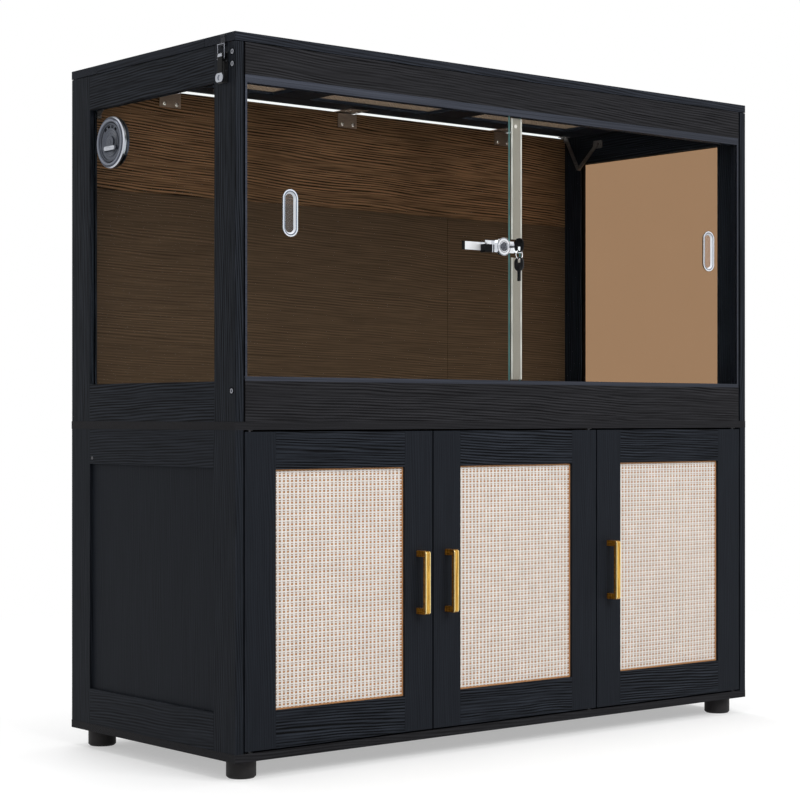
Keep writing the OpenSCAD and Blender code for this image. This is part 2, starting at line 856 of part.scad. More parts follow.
module stay_upper_arms() place() color(steel)
    on_both_sides()
        difference() {
            union() {
                extrude_x(stay_upper_x, stay_upper_x + stay_arm_t)
                    round_bar(stay_lid_pivot, stay_elbow, stay_arm_w);
                rod_x(stay_upper_x - 0.5, stay_upper_x + stay_arm_t + 0.6, stay_elbow[0],
                      stay_elbow[1], stay_head_r);
            }
            rod_x(side_in_x, stay_upper_x + 2 * stay_arm_t, stay_lid_pivot[0], stay_lid_pivot[1],
                  stay_stud_r + running_fit);
        }

module stay_lid_brackets() place() color(steel) {
    tab_x0 = stay_upper_x + stay_arm_t + 0.4;
    tab_x1 = tab_x0 + 1.5;
    tab_w = stay_arm_w + 4;
    on_both_sides() {
        extrude_x(tab_x0, tab_x1)
            round_bar(stay_lid_pivot, [stay_lid_pivot[0], lid_z - tab_w / 2], tab_w);
        block([tab_x0, stay_lid_pivot[0] - 12, lid_z - 1.5],
              [tab_x1 + 14, stay_lid_pivot[0] + 8, lid_z]);
        rod_x(stay_upper_x - 0.3, tab_x1, stay_lid_pivot[0], stay_lid_pivot[1], stay_stud_r);
        rod_x(stay_upper_x - 0.8, stay_upper_x - 0.3, stay_lid_pivot[0], stay_lid_pivot[1],
              stay_head_r);
    }
}

// ---- Toggle latches ----

module latch_base() {
    block([side_out_x - latch_base_t, latch_y - latch_base_w / 2, latch_base_z],
          [side_out_x, latch_y + latch_base_w / 2, latch_base_z + latch_base_h]);
    for (side = [-1, 1]) {
        y = latch_y + side * (latch_lever_w / 2 + 0.3 + latch_ear_t / 2);
        rod_y(y - latch_ear_t / 2, y + latch_ear_t / 2, latch_pivot_x, latch_pivot_z, latch_ear_r);
        block([latch_pivot_x, y - latch_ear_t / 2, latch_pivot_z - latch_ear_r],
              [side_out_x - latch_base_t / 2, y + latch_ear_t / 2, latch_pivot_z + latch_ear_r]);
    }
    rod_y(latch_y - latch_lever_w / 2 - 1, latch_y + latch_lever_w / 2 + 1,
          latch_pivot_x, latch_pivot_z, latch_pin_r);
}

module latch_bases() place() color(dark_metal) on_both_sides() latch_base();

module latch_lever() {
    y0 = latch_y - latch_lever_w / 2;
    y1 = latch_y + latch_lever_w / 2;
    plate_x1 = latch_pivot_x - bail_eye_r + latch_plate_t / 2;
    tip_z = latch_base_z + latch_tip_h / 2 + 1;
    difference() {
        union() {
            rod_y(y0, y1, latch_pivot_x, latch_pivot_z, latch_barrel_r);
            rod_y(y0, y1, latch_pivot_x, latch_pivot_z - bail_pivot_drop, bail_eye_r);
            block([plate_x1 - latch_plate_t, y0, tip_z], [plate_x1, y1, latch_pivot_z]);
            extrude_x(plate_x1 - latch_tip_t, plate_x1)
                translate([latch_y, tip_z])
                    round_rect(latch_tip_w, latch_tip_h, latch_tip_r);
        }
        rod_y(y0 - 1, y1 + 1, latch_pivot_x, latch_pivot_z, latch_pin_r + running_fit);
        rod_y(y0 - 1, y1 + 1, latch_pivot_x, latch_pivot_z - bail_pivot_drop,
              bail_rod_r + running_fit);
        rod_x(plate_x1 - latch_tip_t - 1, plate_x1 - latch_tip_t / 2, latch_y, tip_z, 4.5);
    }
}

module latch_bail() {
    z0 = latch_pivot_z - bail_pivot_drop;
    z1 = z0 + bail_len;
    rod_half = bail_w / 2 + bail_rod_out;
    for (side = [-1, 1])
        rod_z(z0, z1, latch_pivot_x, latch_y + side * bail_w / 2, bail_r);
    for (z = [z0, z1])
        rod_y(latch_y - rod_half, latch_y + rod_half, latch_pivot_x, z, bail_rod_r);
}

// Hook plate on the lid's edge, with its lip just inside the bail
module latch_catches() place() color(steel)
    on_both_sides() {
        block([-1, latch_y - catch_w / 2, catch_lip_z], [0, latch_y + catch_w / 2, lid_top_z - 0.5]);
        block([catch_lip_x, latch_y - catch_w / 2, catch_lip_z],
              [0, latch_y + catch_w / 2, catch_lip_z + 1.2]);
        block([catch_lip_x, latch_y - catch_w / 2, catch_lip_z],
              [catch_lip_x + 0.9, latch_y + catch_w / 2, catch_lip_z + 6]);
    }

module latch_lever_left() place() color(dark_metal) latch_lever();
module latch_bail_left() place() color(steel) latch_bail();
module latch_lever_right() place() color(dark_metal) on_right() latch_lever();
module latch_bail_right() place() color(steel) on_right() latch_bail();

// ---- Sliding glass ----

module pull_cutter(x, z, y0, y1) {
    wall = pull_wall - pull_play;
    extrude_y(y0, y1) translate([x, z])
        round_rect(pull_w - 2 * wall, pull_h - 2 * wall, pull_r - wall);
}

// A shallow clear cup: a flat rim on the glass and a dish let into it
module finger_pull(x, z, rim_y, glass_y, bottom_y) {
    difference() {
        union() {
            extrude_y(rim_y, glass_y) translate([x, z]) round_rect(pull_w, pull_h, pull_r);
            extrude_y(rim_y, bottom_y) translate([x, z])
                round_rect(pull_w - 2 * pull_wall, pull_h - 2 * pull_wall, pull_r - pull_wall);
        }
        extrude_y(rim_y - 1, bottom_y - pull_bottom) translate([x, z])
            round_rect(pull_w - 4 * pull_wall, pull_h - 4 * pull_wall, pull_r - 2 * pull_wall);
    }
}

module left_pane() place() color(glass)
    difference() {
        block([pane_end_x, left_pane_y, pane_z0], [left_pane_x1, left_pane_y + pane_t, pane_z1]);
        pull_cutter(left_pull_x, left_pull_z, 0, cabinet_d / 2);
    }

module left_pull() place() color(clear_plastic)
    finger_pull(left_pull_x, left_pull_z, left_pane_y - 0.5, left_pane_y, left_pane_y + 4);

module right_pane() place() color(glass)
    difference() {
        block([right_pane_x0, right_pane_y, pane_z0],
              [cabinet_w - pane_end_x, right_pane_y + pane_t, pane_z1]);
        pull_cutter(right_pull_x, right_pull_z, 0, cabinet_d / 2);
    }

module right_pull() place() color(clear_plastic)
    finger_pull(right_pull_x, right_pull_z, right_pane_y - 1.5, right_pane_y, right_pane_y + 3.3);

// Soft strip on the free edge of the left pane, notched for the lock's bar
module seal_strip() place() color(clear_plastic) {
    z0 = apron_top_z + track_floor_h + 2;
    z1 = header_z - track_roof_h - 2;
    notch = 16;
    for (span = [[z0, lock_z - notch], [lock_z + notch, z1]]) {
        block([left_pane_x1 - 24, bar_y, span[0]], [left_pane_x1 + 1, left_pane_y, span[1]]);
        block([left_pane_x1, bar_y, span[0]], [left_pane_x1 + 1, left_pane_y + pane_t, span[1]]);
    }
}

// ---- Ratchet lock ----

module ratchet_bar() place() color(chrome) {
    z0 = lock_z - bar_h / 2;
    z1 = lock_z + bar_h / 2;
    hook_x1 = left_pane_x1 + bar_hook_t;
    block([bar_x0, bar_y, z0], [hook_x1, bar_y + bar_t, z1]);
    block([left_pane_x1, bar_y, z0], [hook_x1, bar_hook_y1, z1]);
    block([left_pane_x1 - bar_hook_lip, left_pane_y + pane_t + 0.3, z0],
          [hook_x1, bar_hook_y1, z1]);
    block([bar_x0 - 2, bar_y - 0.05, z0 - 0.5], [bar_x0 + 4, bar_y + bar_t + 0.25, z1 + 0.5]);
}

module lock_body() place() color(chrome)
    difference() {
        union() {
            block([lock_body_x0 + lock_nose_w, lock_body_y0, lock_z - lock_body_h / 2],
                  [lock_body_x1, lock_body_y1, lock_z + lock_body_h / 2]);
            block([lock_body_x0, lock_nose_y, lock_z - lock_body_h / 2],
                  [lock_body_x0 + lock_nose_w, lock_body_y1, lock_z + lock_body_h / 2]);
            rod_y(collar_y, collar_y + collar_t, lock_x, lock_z, collar_r);
        }
        block([lock_body_x0 - 1, lock_slot_y, lock_z - lock_slot_h / 2],
              [lock_body_x1 + 1, lock_body_y1 + 1, lock_z + lock_slot_h / 2]);
        rod_y(collar_y - 1, plug_y1 + 0.2, lock_x, lock_z, plug_r + running_fit);
    }

module lock_cylinder() place() color(steel)
    difference() {
        rod_y(plug_y0, plug_y1, lock_x, lock_z, plug_r);
        translate([lock_x, 0, lock_z])
            block([-key_blade_t / 2 - 0.1, plug_y0 - 1, -key_blade_h / 2 - 0.1],
                  [key_blade_t / 2 + 0.1, key_blade_y1 + 0.2, key_blade_h / 2 + 0.1]);
    }

// A key in the plane of (y, z): bow at the origin with its eye towards -z
module key_shape(blade_len) {
    difference() {
        extrude_x(-bow_t / 2, bow_t / 2) round_rect(bow_w, bow_h, bow_corner_r);
        extrude_x(-bow_t, bow_t)
            translate([-bow_eye_w / 2, -bow_h / 2 - 1])
                square([bow_eye_w, bow_h / 2 + 1 - bow_eye_top]);
    }
    rod_y(-bow_eye_w / 2 - 1.5, bow_eye_w / 2 + 1.5, 0, -bow_bar_drop, bow_bar_r);
    children();
}

module key() place() color(black_plastic)
    translate([lock_x, bow_y, lock_z])
        key_shape()
            block([-key_blade_t / 2, bow_w / 2 - 2, -key_blade_h / 2],
                  [key_blade_t / 2, key_blade_y1 - bow_y, key_blade_h / 2]);

module spare_key() place() color(black_plastic)
    translate([lock_x, bow_y, spare_bow_z]) rotate([180, 0, 0])
        key_shape()
            block([-key_blade_t / 2, -key_blade_h / 2, bow_h / 2 - 2],
                  [key_blade_t / 2, key_blade_h / 2, bow_h / 2 + spare_blade_len]);

// A split ring: its overlap is the thicker sleeve that the spare key hangs on
module key_ring() place() color(steel) {
    translate([lock_x, bow_y, ring_z]) rotate([90, 0, 0])
        rotate_extrude() translate([ring_r, 0]) circle(ring_wire_r);
    rod_x(lock_x - ring_sleeve / 2, lock_x + ring_sleeve / 2, bow_y, ring_z - ring_r,
          ring_sleeve_r);
}

// ---- Output ----

feet();
bottom_board();
base_side_frames();
base_side_panels();
base_back_panels();
base_divider();
base_shelves();
shelf_pins();
terrarium_floor();
upper_side_frames();
side_glass();
back_upper_plank();
back_lower_boards();
header_board();
apron_board();
top_track();
bottom_track();
side_channels();
frame_bolts();
vent_ring();
lid_hinge_lower_leaves();
lid_hinge_pins();
stay_side_brackets();
latch_bases();
door_pivot_bushes();
vent_dial();
lid_frame();
lid_mesh();
lid_hinge_upper_leaves();
latch_catches();
stay_lid_brackets();
stay_lower_arms();
stay_upper_arms();
latch_lever_left();
latch_bail_left();
latch_lever_right();
latch_bail_right();
left_pane();
left_pull();
seal_strip();
ratchet_bar();
right_pane();
right_pull();
lock_body();
lock_cylinder();
key();
key_ring();
spare_key();
door_frame(1);  // door_1_frame
door_panel(1);  // door_1_panel
door_handle(1);  // door_1_handle
door_pivots(1);  // door_1_pivots
door_frame(2);  // door_2_frame
door_panel(2);  // door_2_panel
door_handle(2);  // door_2_handle
door_pivots(2);  // door_2_pivots
door_frame(3);  // door_3_frame
door_panel(3);  // door_3_panel
door_handle(3);  // door_3_handle
door_pivots(3);  // door_3_pivots
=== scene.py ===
"""The looks of the terrarium cabinet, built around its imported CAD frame."""

import math

import bmesh
import bpy
from mathutils import Matrix, Vector


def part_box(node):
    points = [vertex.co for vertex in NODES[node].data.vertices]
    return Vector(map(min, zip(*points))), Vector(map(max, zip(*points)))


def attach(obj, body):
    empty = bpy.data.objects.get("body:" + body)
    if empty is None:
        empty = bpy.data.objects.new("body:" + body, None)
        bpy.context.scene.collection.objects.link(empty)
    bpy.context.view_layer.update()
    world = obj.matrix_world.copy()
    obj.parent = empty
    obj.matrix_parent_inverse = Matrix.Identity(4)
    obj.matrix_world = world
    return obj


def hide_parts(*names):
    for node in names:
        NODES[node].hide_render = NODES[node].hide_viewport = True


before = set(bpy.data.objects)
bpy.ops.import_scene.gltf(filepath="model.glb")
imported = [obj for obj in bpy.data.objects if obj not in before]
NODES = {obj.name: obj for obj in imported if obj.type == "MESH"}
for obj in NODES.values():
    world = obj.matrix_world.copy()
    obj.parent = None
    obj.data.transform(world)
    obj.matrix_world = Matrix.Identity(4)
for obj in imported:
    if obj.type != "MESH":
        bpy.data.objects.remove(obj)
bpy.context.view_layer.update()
MM = 0.001

# The cabinet's own coordinates: X from the left board edge, Y back from the front face,
# Z from the ground, all in millimetres
LEFT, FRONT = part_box("bottom_board")[0].x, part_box("bottom_board")[0].y
CABINET_W = (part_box("bottom_board")[1].x - LEFT) / MM
ORIGIN = (LEFT, FRONT, 0)
AXES = {"X": 0, "Y": 1, "Z": 2}
DOORS = (1, 2, 3)


def at(x, y, z):
    """A point of the row frame from cabinet millimetres."""
    return Vector((LEFT + x * MM, FRONT + y * MM, z * MM))


def cabinet_box(node):
    """A node's lowest and highest corners in cabinet millimetres."""
    low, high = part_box(node)
    return (low - Vector(ORIGIN)) / MM, (high - Vector(ORIGIN)) / MM


def centre(node):
    """The middle of a node, in cabinet millimetres."""
    low, high = cabinet_box(node)
    return (low + high) / 2


# ---- Camera, light and stage ----

CAMERA_PLACE = at(-1835.29, -2615.48, 569.856)
CAMERA_YAW = -39.66538
CAMERA_LENS = 92.03
CAMERA_SHIFT_Y = 0.021594
LIGHT_TARGET = (0, 0, 0.6)
SOFT_LIGHT = 0.5
WHITE = (1, 1, 1, 1)
FLOOR_HALF = 40
FLOOR_Z = -0.0002
FLOOR_GREY = (0.62, 0.62, 0.62, 1)
FLOOR_GLOW = 0.42
FLOOR_FADE = (0.9, 2.4)


def make_camera():
    data = bpy.data.cameras.new("camera")
    data.sensor_width = 36
    data.lens = CAMERA_LENS
    data.shift_y = CAMERA_SHIFT_Y
    data.clip_end = 100
    camera = bpy.data.objects.new("camera", data)
    camera.location = CAMERA_PLACE
    camera.rotation_euler = (math.radians(90), 0, math.radians(CAMERA_YAW))
    bpy.context.scene.collection.objects.link(camera)
    bpy.context.scene.camera = camera


def area_light(name, place, size, watts):
    """A soft white lamp aimed at the cabinet's middle. Panes let it through as shadow rays,
    so it isn't sampled a second time through them."""
    data = bpy.data.lights.new(name, "AREA")
    data.shape = "RECTANGLE"
    data.size, data.size_y = size
    data.energy = watts
    lamp = bpy.data.objects.new(name, data)
    lamp.location = place
    aim = Vector(LIGHT_TARGET) - Vector(place)
    lamp.rotation_euler = aim.to_track_quat("-Z", "Y").to_euler()
    lamp.visible_transmission = False
    bpy.context.scene.collection.objects.link(lamp)


def make_lights():
    area_light("key", (0.2, -3.6, 2.9), (2.6, 2.0), 108)
    area_light("side", (-3.6, -0.6, 1.9), (2.2, 2.2), 10)
    area_light("top", (0, 0.2, 3.6), (2.4, 1.8), 42)
    area_light("rear", (0.8, 3.4, 2.4), (2.4, 2.0), 60)


def seen_rays(nodes, links):
    """1 for what is seen directly, or in glass and metal, and 0 for plain light."""
    path = nodes.new("ShaderNodeLightPath")
    seen = path.outputs["Is Camera Ray"]
    for name in ("Is Transmission Ray", "Is Glossy Ray"):
        either = nodes.new("ShaderNodeMath")
        either.operation = "MAXIMUM"
        links.new(seen, either.inputs[0])
        links.new(path.outputs[name], either.inputs[1])
        seen = either.outputs[0]
    return seen


def make_world():
    """White where it is seen, and soft grey light elsewhere."""
    world = bpy.data.worlds.new("world")
    bpy.context.scene.world = world
    world.use_nodes = True
    nodes, links = world.node_tree.nodes, world.node_tree.links
    background = nodes["Background"]
    background.inputs["Color"].default_value = WHITE
    strength = nodes.new("ShaderNodeMapRange")
    strength.inputs["To Min"].default_value = SOFT_LIGHT
    links.new(seen_rays(nodes, links), strength.inputs["Value"])
    links.new(strength.outputs["Result"], background.inputs["Strength"])


def make_floor():
    """A pale floor that keeps the object's shadow and fades to plain white further out."""
    mesh = bpy.data.meshes.new("floor")
    corners = [(x * FLOOR_HALF, y * FLOOR_HALF, FLOOR_Z)
               for x, y in ((-1, -1), (1, -1), (1, 1), (-1, 1))]
    mesh.from_pydata(corners, [], [(0, 1, 2, 3)])
    floor = bpy.data.objects.new("floor", mesh)
    bpy.context.scene.collection.objects.link(floor)
    material = bpy.data.materials.new("floor")
    material.use_nodes = True
    nodes, links = material.node_tree.nodes, material.node_tree.links
    bsdf = nodes["Principled BSDF"]
    bsdf.inputs["Base Color"].default_value = FLOOR_GREY
    bsdf.inputs["Roughness"].default_value = 0.9
    bsdf.inputs["Specular IOR Level"].default_value = 0.1
    seen = seen_rays(nodes, links)
    glow = nodes.new("ShaderNodeEmission")
    glow.inputs["Color"].default_value = WHITE
    strength = nodes.new("ShaderNodeMath")
    strength.operation = "MULTIPLY"
    strength.inputs[1].default_value = FLOOR_GLOW
    links.new(seen, strength.inputs[0])
    links.new(strength.outputs[0], glow.inputs["Strength"])
    near = nodes.new("ShaderNodeAddShader")
    links.new(bsdf.outputs[0], near.inputs[0])
    links.new(glow.outputs[0], near.inputs[1])
    white = nodes.new("ShaderNodeEmission")
    white.inputs["Color"].default_value = WHITE
    away = nodes.new("ShaderNodeVectorMath")
    away.operation = "LENGTH"
    links.new(nodes.new("ShaderNodeTexCoord").outputs["Object"], away.inputs[0])
    fade = nodes.new("ShaderNodeMapRange")
    fade.interpolation_type = "SMOOTHSTEP"
    fade.inputs["From Min"].default_value, fade.inputs["From Max"].default_value = FLOOR_FADE
    links.new(away.outputs["Value"], fade.inputs["Value"])
    share = nodes.new("ShaderNodeMath")
    share.operation = "MULTIPLY"
    links.new(fade.outputs["Result"], share.inputs[0])
    links.new(seen, share.inputs[1])
    both = nodes.new("ShaderNodeMixShader")
    links.new(share.outputs[0], both.inputs[0])
    links.new(near.outputs[0], both.inputs[1])
    links.new(white.outputs[0], both.inputs[2])
    links.new(both.outputs[0], nodes["Material Output"].inputs["Surface"])
    floor.data.materials.append(material)


# ---- Material helpers ----


def srgb(red, green, blue):
    """A linear colour from its 0 to 255 display values."""
    def linear(value):
        v = value / 255
        return v / 12.92 if v <= 0.04045 else ((v + 0.055) / 1.055) ** 2.4

    return (linear(red), linear(green), linear(blue), 1)


NOISE_ROUGHNESS = 0.55


class Shader:
    """A material's node tree with one Principled shader, built by short calls."""

    def __init__(self, name, roughness=0.5, metallic=0.0, specular=0.5):
        self.material = bpy.data.materials.new(name)
        self.material.use_nodes = True
        self.tree = self.material.node_tree
        self.bsdf = self.tree.nodes["Principled BSDF"]
        self.output = self.tree.nodes["Material Output"]
        self.set("Roughness", roughness)
        self.set("Metallic", metallic)
        self.set("Specular IOR Level", specular)

    def set(self, socket, value):
        self.bsdf.inputs[socket].default_value = value

    def link(self, source, target):
        self.tree.links.new(source, target)

    def feed(self, socket, source):
        self.link(source, self.bsdf.inputs[socket])

    def node(self, kind, **settings):
        made = self.tree.nodes.new(kind)
        for name, value in settings.items():
            setattr(made, name, value)
        return made

    def place(self):
        """Where a point is in the row frame, as the object lies at rest."""
        return self.node("ShaderNodeTexCoord").outputs["Object"]

    def stretch(self, vector, scale, shift=(0, 0, 0)):
        mapping = self.node("ShaderNodeMapping")
        mapping.inputs["Scale"].default_value = scale
        mapping.inputs["Location"].default_value = shift
        self.link(vector, mapping.inputs["Vector"])
        return mapping.outputs["Vector"]

    def noise(self, vector, scale, detail=3.0):
        made = self.node("ShaderNodeTexNoise")
        made.inputs["Scale"].default_value = scale
        made.inputs["Detail"].default_value = detail
        made.inputs["Roughness"].default_value = NOISE_ROUGHNESS
        self.link(vector, made.inputs["Vector"])
        return made.outputs["Fac"]

    def math(self, operation, *values):
        made = self.node("ShaderNodeMath", operation=operation)
        for i, value in enumerate(values):
            if isinstance(value, (int, float)):
                made.inputs[i].default_value = value
            else:
                self.link(value, made.inputs[i])
        return made.outputs[0]

    def axes(self, vector):
        split = self.node("ShaderNodeSeparateXYZ")
        self.link(vector, split.inputs[0])
        return split.outputs

    def remap(self, value, low, high, to_low=0.0, to_high=1.0):
        made = self.node("ShaderNodeMapRange")
        self.link(value, made.inputs["Value"])
        for name, number in zip(("From Min", "From Max", "To Min", "To Max"),
                                (low, high, to_low, to_high)):
            made.inputs[name].default_value = number
        return made.outputs["Result"]

    def within(self, vector, axis, low, high):
        """1 between low and high cabinet millimetres along an axis, and 0 beyond them."""
        along = self.axes(vector)[AXES[axis]]
        above = self.math("GREATER_THAN", along, ORIGIN[AXES[axis]] + low * MM)
        below = self.math("LESS_THAN", along, ORIGIN[AXES[axis]] + high * MM)
        return self.math("MULTIPLY", above, below)

    def blend(self, factor, a, b, kind="RGBA"):
        """A mix of two colours or, with kind VECTOR, two vectors, each a value or a socket."""
        made = self.node("ShaderNodeMix", data_type=kind)
        self.link(factor, made.inputs["Factor"])
        for name, value in (("A", a), ("B", b)):
            socket = next(s for s in made.inputs if s.name == name and s.type == kind)
            if isinstance(value, tuple):
                socket.default_value = value
            else:
                self.link(value, socket)
        return next(s for s in made.outputs if s.type == kind)

    def bump(self, height, strength, distance):
        made = self.node("ShaderNodeBump")
        made.inputs["Strength"].default_value = strength
        made.inputs["Distance"].default_value = distance
        self.link(height, made.inputs["Height"])
        self.link(made.outputs["Normal"], self.bsdf.inputs["Normal"])


# ---- Wood ----

ALONG_GRAIN = 11.0
ACROSS_GRAIN = 330.0
LINE_PITCH = 4.8
WAVER = 0.009
LINE_BEND = 14.0
WAVER_SCALE = 5.0
BEND_SCALE = (0.12, 0.12, 0.12)
PATCH_SCALE = (0.2, 0.2, 0.2)
STREAKS = 0.6
# Noise from low to high becomes these shares of the lines, and of the streaks
PATCH_RANGE = (0.32, 0.58, 0.25, 1.05)
STREAK_RANGE = (0.32, 0.68, -STREAKS, STREAKS)
MEAN_TONE = 0.27
WOOD_SPECULAR = 0.05


def grain_scale(axis):
    scale = [ACROSS_GRAIN] * 3
    scale[AXES[axis]] = ALONG_GRAIN
    return tuple(scale)


def wood(name, grain, tones, members=None, seed=0.0, contrast=0.1, plain=1.0, inner=None):
    """Embossed wood-grain laminate. grain is the axis that the fibres follow. members is
    (axis, low, high, other grain) in cabinet millimetres: between low and high along that
    axis the fibres follow the other grain, as on rails between stiles. contrast is that of
    the rails, and plain is the share of it that shows on stiles. inner is (Y, tones) of the
    faces in front of that depth."""
    dark, light = tones
    shader = Shader(name, roughness=0.5, specular=WOOD_SPECULAR)
    place = shader.place()
    waver = shader.node("ShaderNodeTexNoise")
    waver.inputs["Scale"].default_value = WAVER_SCALE
    waver.inputs["Detail"].default_value = 1.0
    shader.link(place, waver.inputs["Vector"])
    wavy = shader.node("ShaderNodeVectorMath", operation="MULTIPLY_ADD")
    wavy.inputs[1].default_value = (WAVER, WAVER, WAVER)
    shader.link(waver.outputs["Color"], wavy.inputs[0])
    shader.link(place, wavy.inputs[2])
    shift = (seed, seed * 0.7, seed * 1.3)
    fibres = shader.stretch(wavy.outputs[0], grain_scale(grain), shift)
    relief = contrast
    if members:
        axis, low, high, other = members
        rails = shader.within(place, axis, low, high)
        turned = shader.stretch(wavy.outputs[0], grain_scale(other), shift)
        fibres = shader.blend(rails, fibres, turned, "VECTOR")
        relief = shader.remap(rails, 0, 1, contrast * plain, contrast)
    x, y, z = shader.axes(fibres)
    across = shader.math("ADD", shader.math("ADD", x, y), z)
    bend = shader.noise(shader.stretch(fibres, BEND_SCALE), 1.0, detail=1.0)
    phase = shader.math("MULTIPLY", across, 2 * math.pi / (LINE_PITCH * MM * ACROSS_GRAIN))
    phase = shader.math("ADD", phase, shader.math("MULTIPLY", bend, LINE_BEND))
    lines = shader.math("SINE", phase)
    patches = shader.noise(shader.stretch(fibres, PATCH_SCALE), 1.0, detail=1.0)
    lines = shader.math("MULTIPLY", lines, shader.remap(patches, *PATCH_RANGE))
    streaks = shader.remap(shader.noise(fibres, 1.0), *STREAK_RANGE)
    figure = shader.math("ADD", lines, streaks)
    tone = shader.math("ADD", shader.math("MULTIPLY", figure, relief), MEAN_TONE)
    colour = shader.blend(tone, dark, light)
    if inner:
        depth, (dark, light) = inner
        in_front = shader.math("LESS_THAN", shader.axes(place)[1], FRONT + depth * MM)
        colour = shader.blend(in_front, colour, shader.blend(tone, dark, light))
    shader.feed("Base Color", colour)
    shader.feed("Roughness", shader.remap(tone, 0, 1, 0.6, 0.4))
    shader.bump(tone, 0.5, 0.0006)
    return shader.material


BLACK = srgb(5, 5, 6), srgb(64, 64, 68)
BLUE_BLACK = srgb(4, 5, 7), srgb(55, 60, 69)
LID_BLACK = srgb(5, 6, 8), srgb(66, 71, 82)
# The upper plank's inner faces are lighter and warmer than the other inner wood: partly painted
# lamp light near the lid
INNER = srgb(14, 11, 8), srgb(176, 132, 94)
INNER_PLAIN = srgb(26, 19, 14), srgb(134, 106, 80)


# ---- Metals, glass and plastics ----

GLASS_IOR = 1.01
GLASS_TINT = (0.95, 0.975, 0.97, 1)
# Painted reflection: a beige on the right side glass standing in for the lamp-lit interior
# reflected in it
RIGHT_PAINTED_REFLECTION = srgb(160, 126, 97)
DUST = 0.985
PLASTIC_GRAIN = 900.0
PLASTIC_CLOUD = 30.0
# Depths over which a handle's front turns to its sides, which are painted a deeper tone as
# painted shade, and reaches over which its edges turn bright with a painted highlight
HANDLE_FRONT = (1.2, 3.5)
HANDLE_EDGE = (3.1, 4.3)
UPRIGHT_BRUSHING = (1100, 1100, 24)
CROSS_BRUSHING = (500, 60, 700)
GLASS_SMEARS = 9.0
WEAVE_THREADS = (900, 900, 900)
WEAVE_PATCHES = 45.0
LINING_Y = 7.9


def brushed_metal(name, colour, other, roughness, scale, metallic=1.0):
    """Metal with fine lines; scale says how fast they change along X, Y and Z."""
    shader = Shader(name, roughness=roughness, metallic=metallic)
    lines = shader.noise(shader.stretch(shader.place(), scale), 1.0)
    shader.feed("Base Color", shader.blend(shader.remap(lines, 0.3, 0.7), colour, other))
    shader.feed("Roughness", shader.remap(lines, 0.3, 0.7, roughness * 0.8, roughness * 1.25))
    shader.bump(lines, 0.05, 0.0002)
    return shader.material


def turned_metal(name, colour, other, roughness, middle, pitch, bands):
    """Metal with fine rings about an axis along X through middle, as (y, z) in millimetres,
    and other colours beyond each (radius, colour) of bands."""
    shader = Shader(name, roughness=roughness, metallic=1.0)
    middle = at(0, *middle)
    _, y, z = shader.axes(shader.place())
    dy = shader.math("SUBTRACT", y, middle.y)
    dz = shader.math("SUBTRACT", z, middle.z)
    radius = shader.math("SQRT", shader.math("ADD", shader.math("MULTIPLY", dy, dy),
                                             shader.math("MULTIPLY", dz, dz)))
    rings = shader.node("ShaderNodeTexNoise", noise_dimensions="1D")
    rings.inputs["Scale"].default_value = 1 / (pitch * MM)
    rings.inputs["Detail"].default_value = 2.0
    shader.link(radius, rings.inputs["W"])
    face = shader.blend(shader.remap(rings.outputs["Fac"], 0.3, 0.7), colour, other)
    for radius_mm, band in bands:
        face = shader.blend(shader.math("GREATER_THAN", radius, radius_mm * MM), face, band)
    shader.feed("Base Color", face)
    shader.feed("Roughness", shader.remap(rings.outputs["Fac"], 0.3, 0.7,
                                          roughness * 0.8, roughness * 1.3))
    shader.bump(rings.outputs["Fac"], 0.15, 0.0003)
    return shader.material


def two_finishes(name, ranges, inside, outside):
    """One finish within all of the (axis, low, high) ranges, in cabinet millimetres, and
    another beyond them; each finish is (colour, metallic, roughness)."""
    shader = Shader(name, specular=0.1)
    place = shader.place()
    within = 1.0
    for limits in ranges:
        within = shader.math("MULTIPLY", within, shader.within(place, *limits))
    shader.feed("Base Color", shader.blend(within, outside[0], inside[0]))
    shader.feed("Metallic", shader.remap(within, 0, 1, outside[1], inside[1]))
    shader.feed("Roughness", shader.remap(within, 0, 1, outside[2], inside[2]))
    return shader.material


def handle_brass(node):
    """Gold front with a painted highlight along its edges, and cross-brushed sides in a deeper
    tone that is painted shade.
    """
    middle, front = at(centre(node).x, cabinet_box(node)[0].y, 0)[:2]
    shader = Shader(f"{node}_brass", roughness=0.24, metallic=0.7)
    place = shader.place()
    x, y, _ = shader.axes(place)
    upright = shader.noise(shader.stretch(place, UPRIGHT_BRUSHING), 1.0)
    across = shader.noise(shader.stretch(place, CROSS_BRUSHING), 1.0)
    deep = shader.remap(y, *(front + depth * MM for depth in HANDLE_FRONT))
    off_middle = shader.math("ABSOLUTE", shader.math("SUBTRACT", x, middle))
    edge = shader.remap(off_middle, *(reach * MM for reach in HANDLE_EDGE))
    grip = shader.blend(shader.remap(upright, 0.34, 0.66), srgb(152, 108, 36),
                        srgb(226, 178, 78))
    # Painted highlight: the grip turns pale gold towards its edges
    grip = shader.blend(edge, grip, srgb(255, 232, 168))
    # Painted shade: the sides are a deeper orange than the front
    shaded_sides = shader.blend(shader.remap(across, 0.34, 0.66), srgb(132, 78, 20), srgb(214, 150, 52))
    shader.feed("Base Color", shader.blend(deep, grip, shaded_sides))
    shader.feed("Roughness", shader.remap(upright, 0.3, 0.7, 0.18, 0.34))
    shader.bump(upright, 0.06, 0.0002)
    return shader.material


def plastic(name, colour, other, roughness, specular):
    """Moulded plastic with a fine speckle and soft clouds of tone."""
    shader = Shader(name, roughness=roughness, specular=specular)
    speckle = shader.noise(shader.place(), PLASTIC_GRAIN, detail=2.0)
    cloud = shader.noise(shader.place(), PLASTIC_CLOUD, detail=2.0)
    shader.feed("Base Color", shader.blend(shader.remap(cloud, 0.35, 0.65), colour, other))
    shader.feed("Roughness", shader.remap(speckle, 0.3, 0.7, roughness * 0.85, roughness * 1.15))
    shader.bump(speckle, 0.12, 0.0002)
    return shader.material


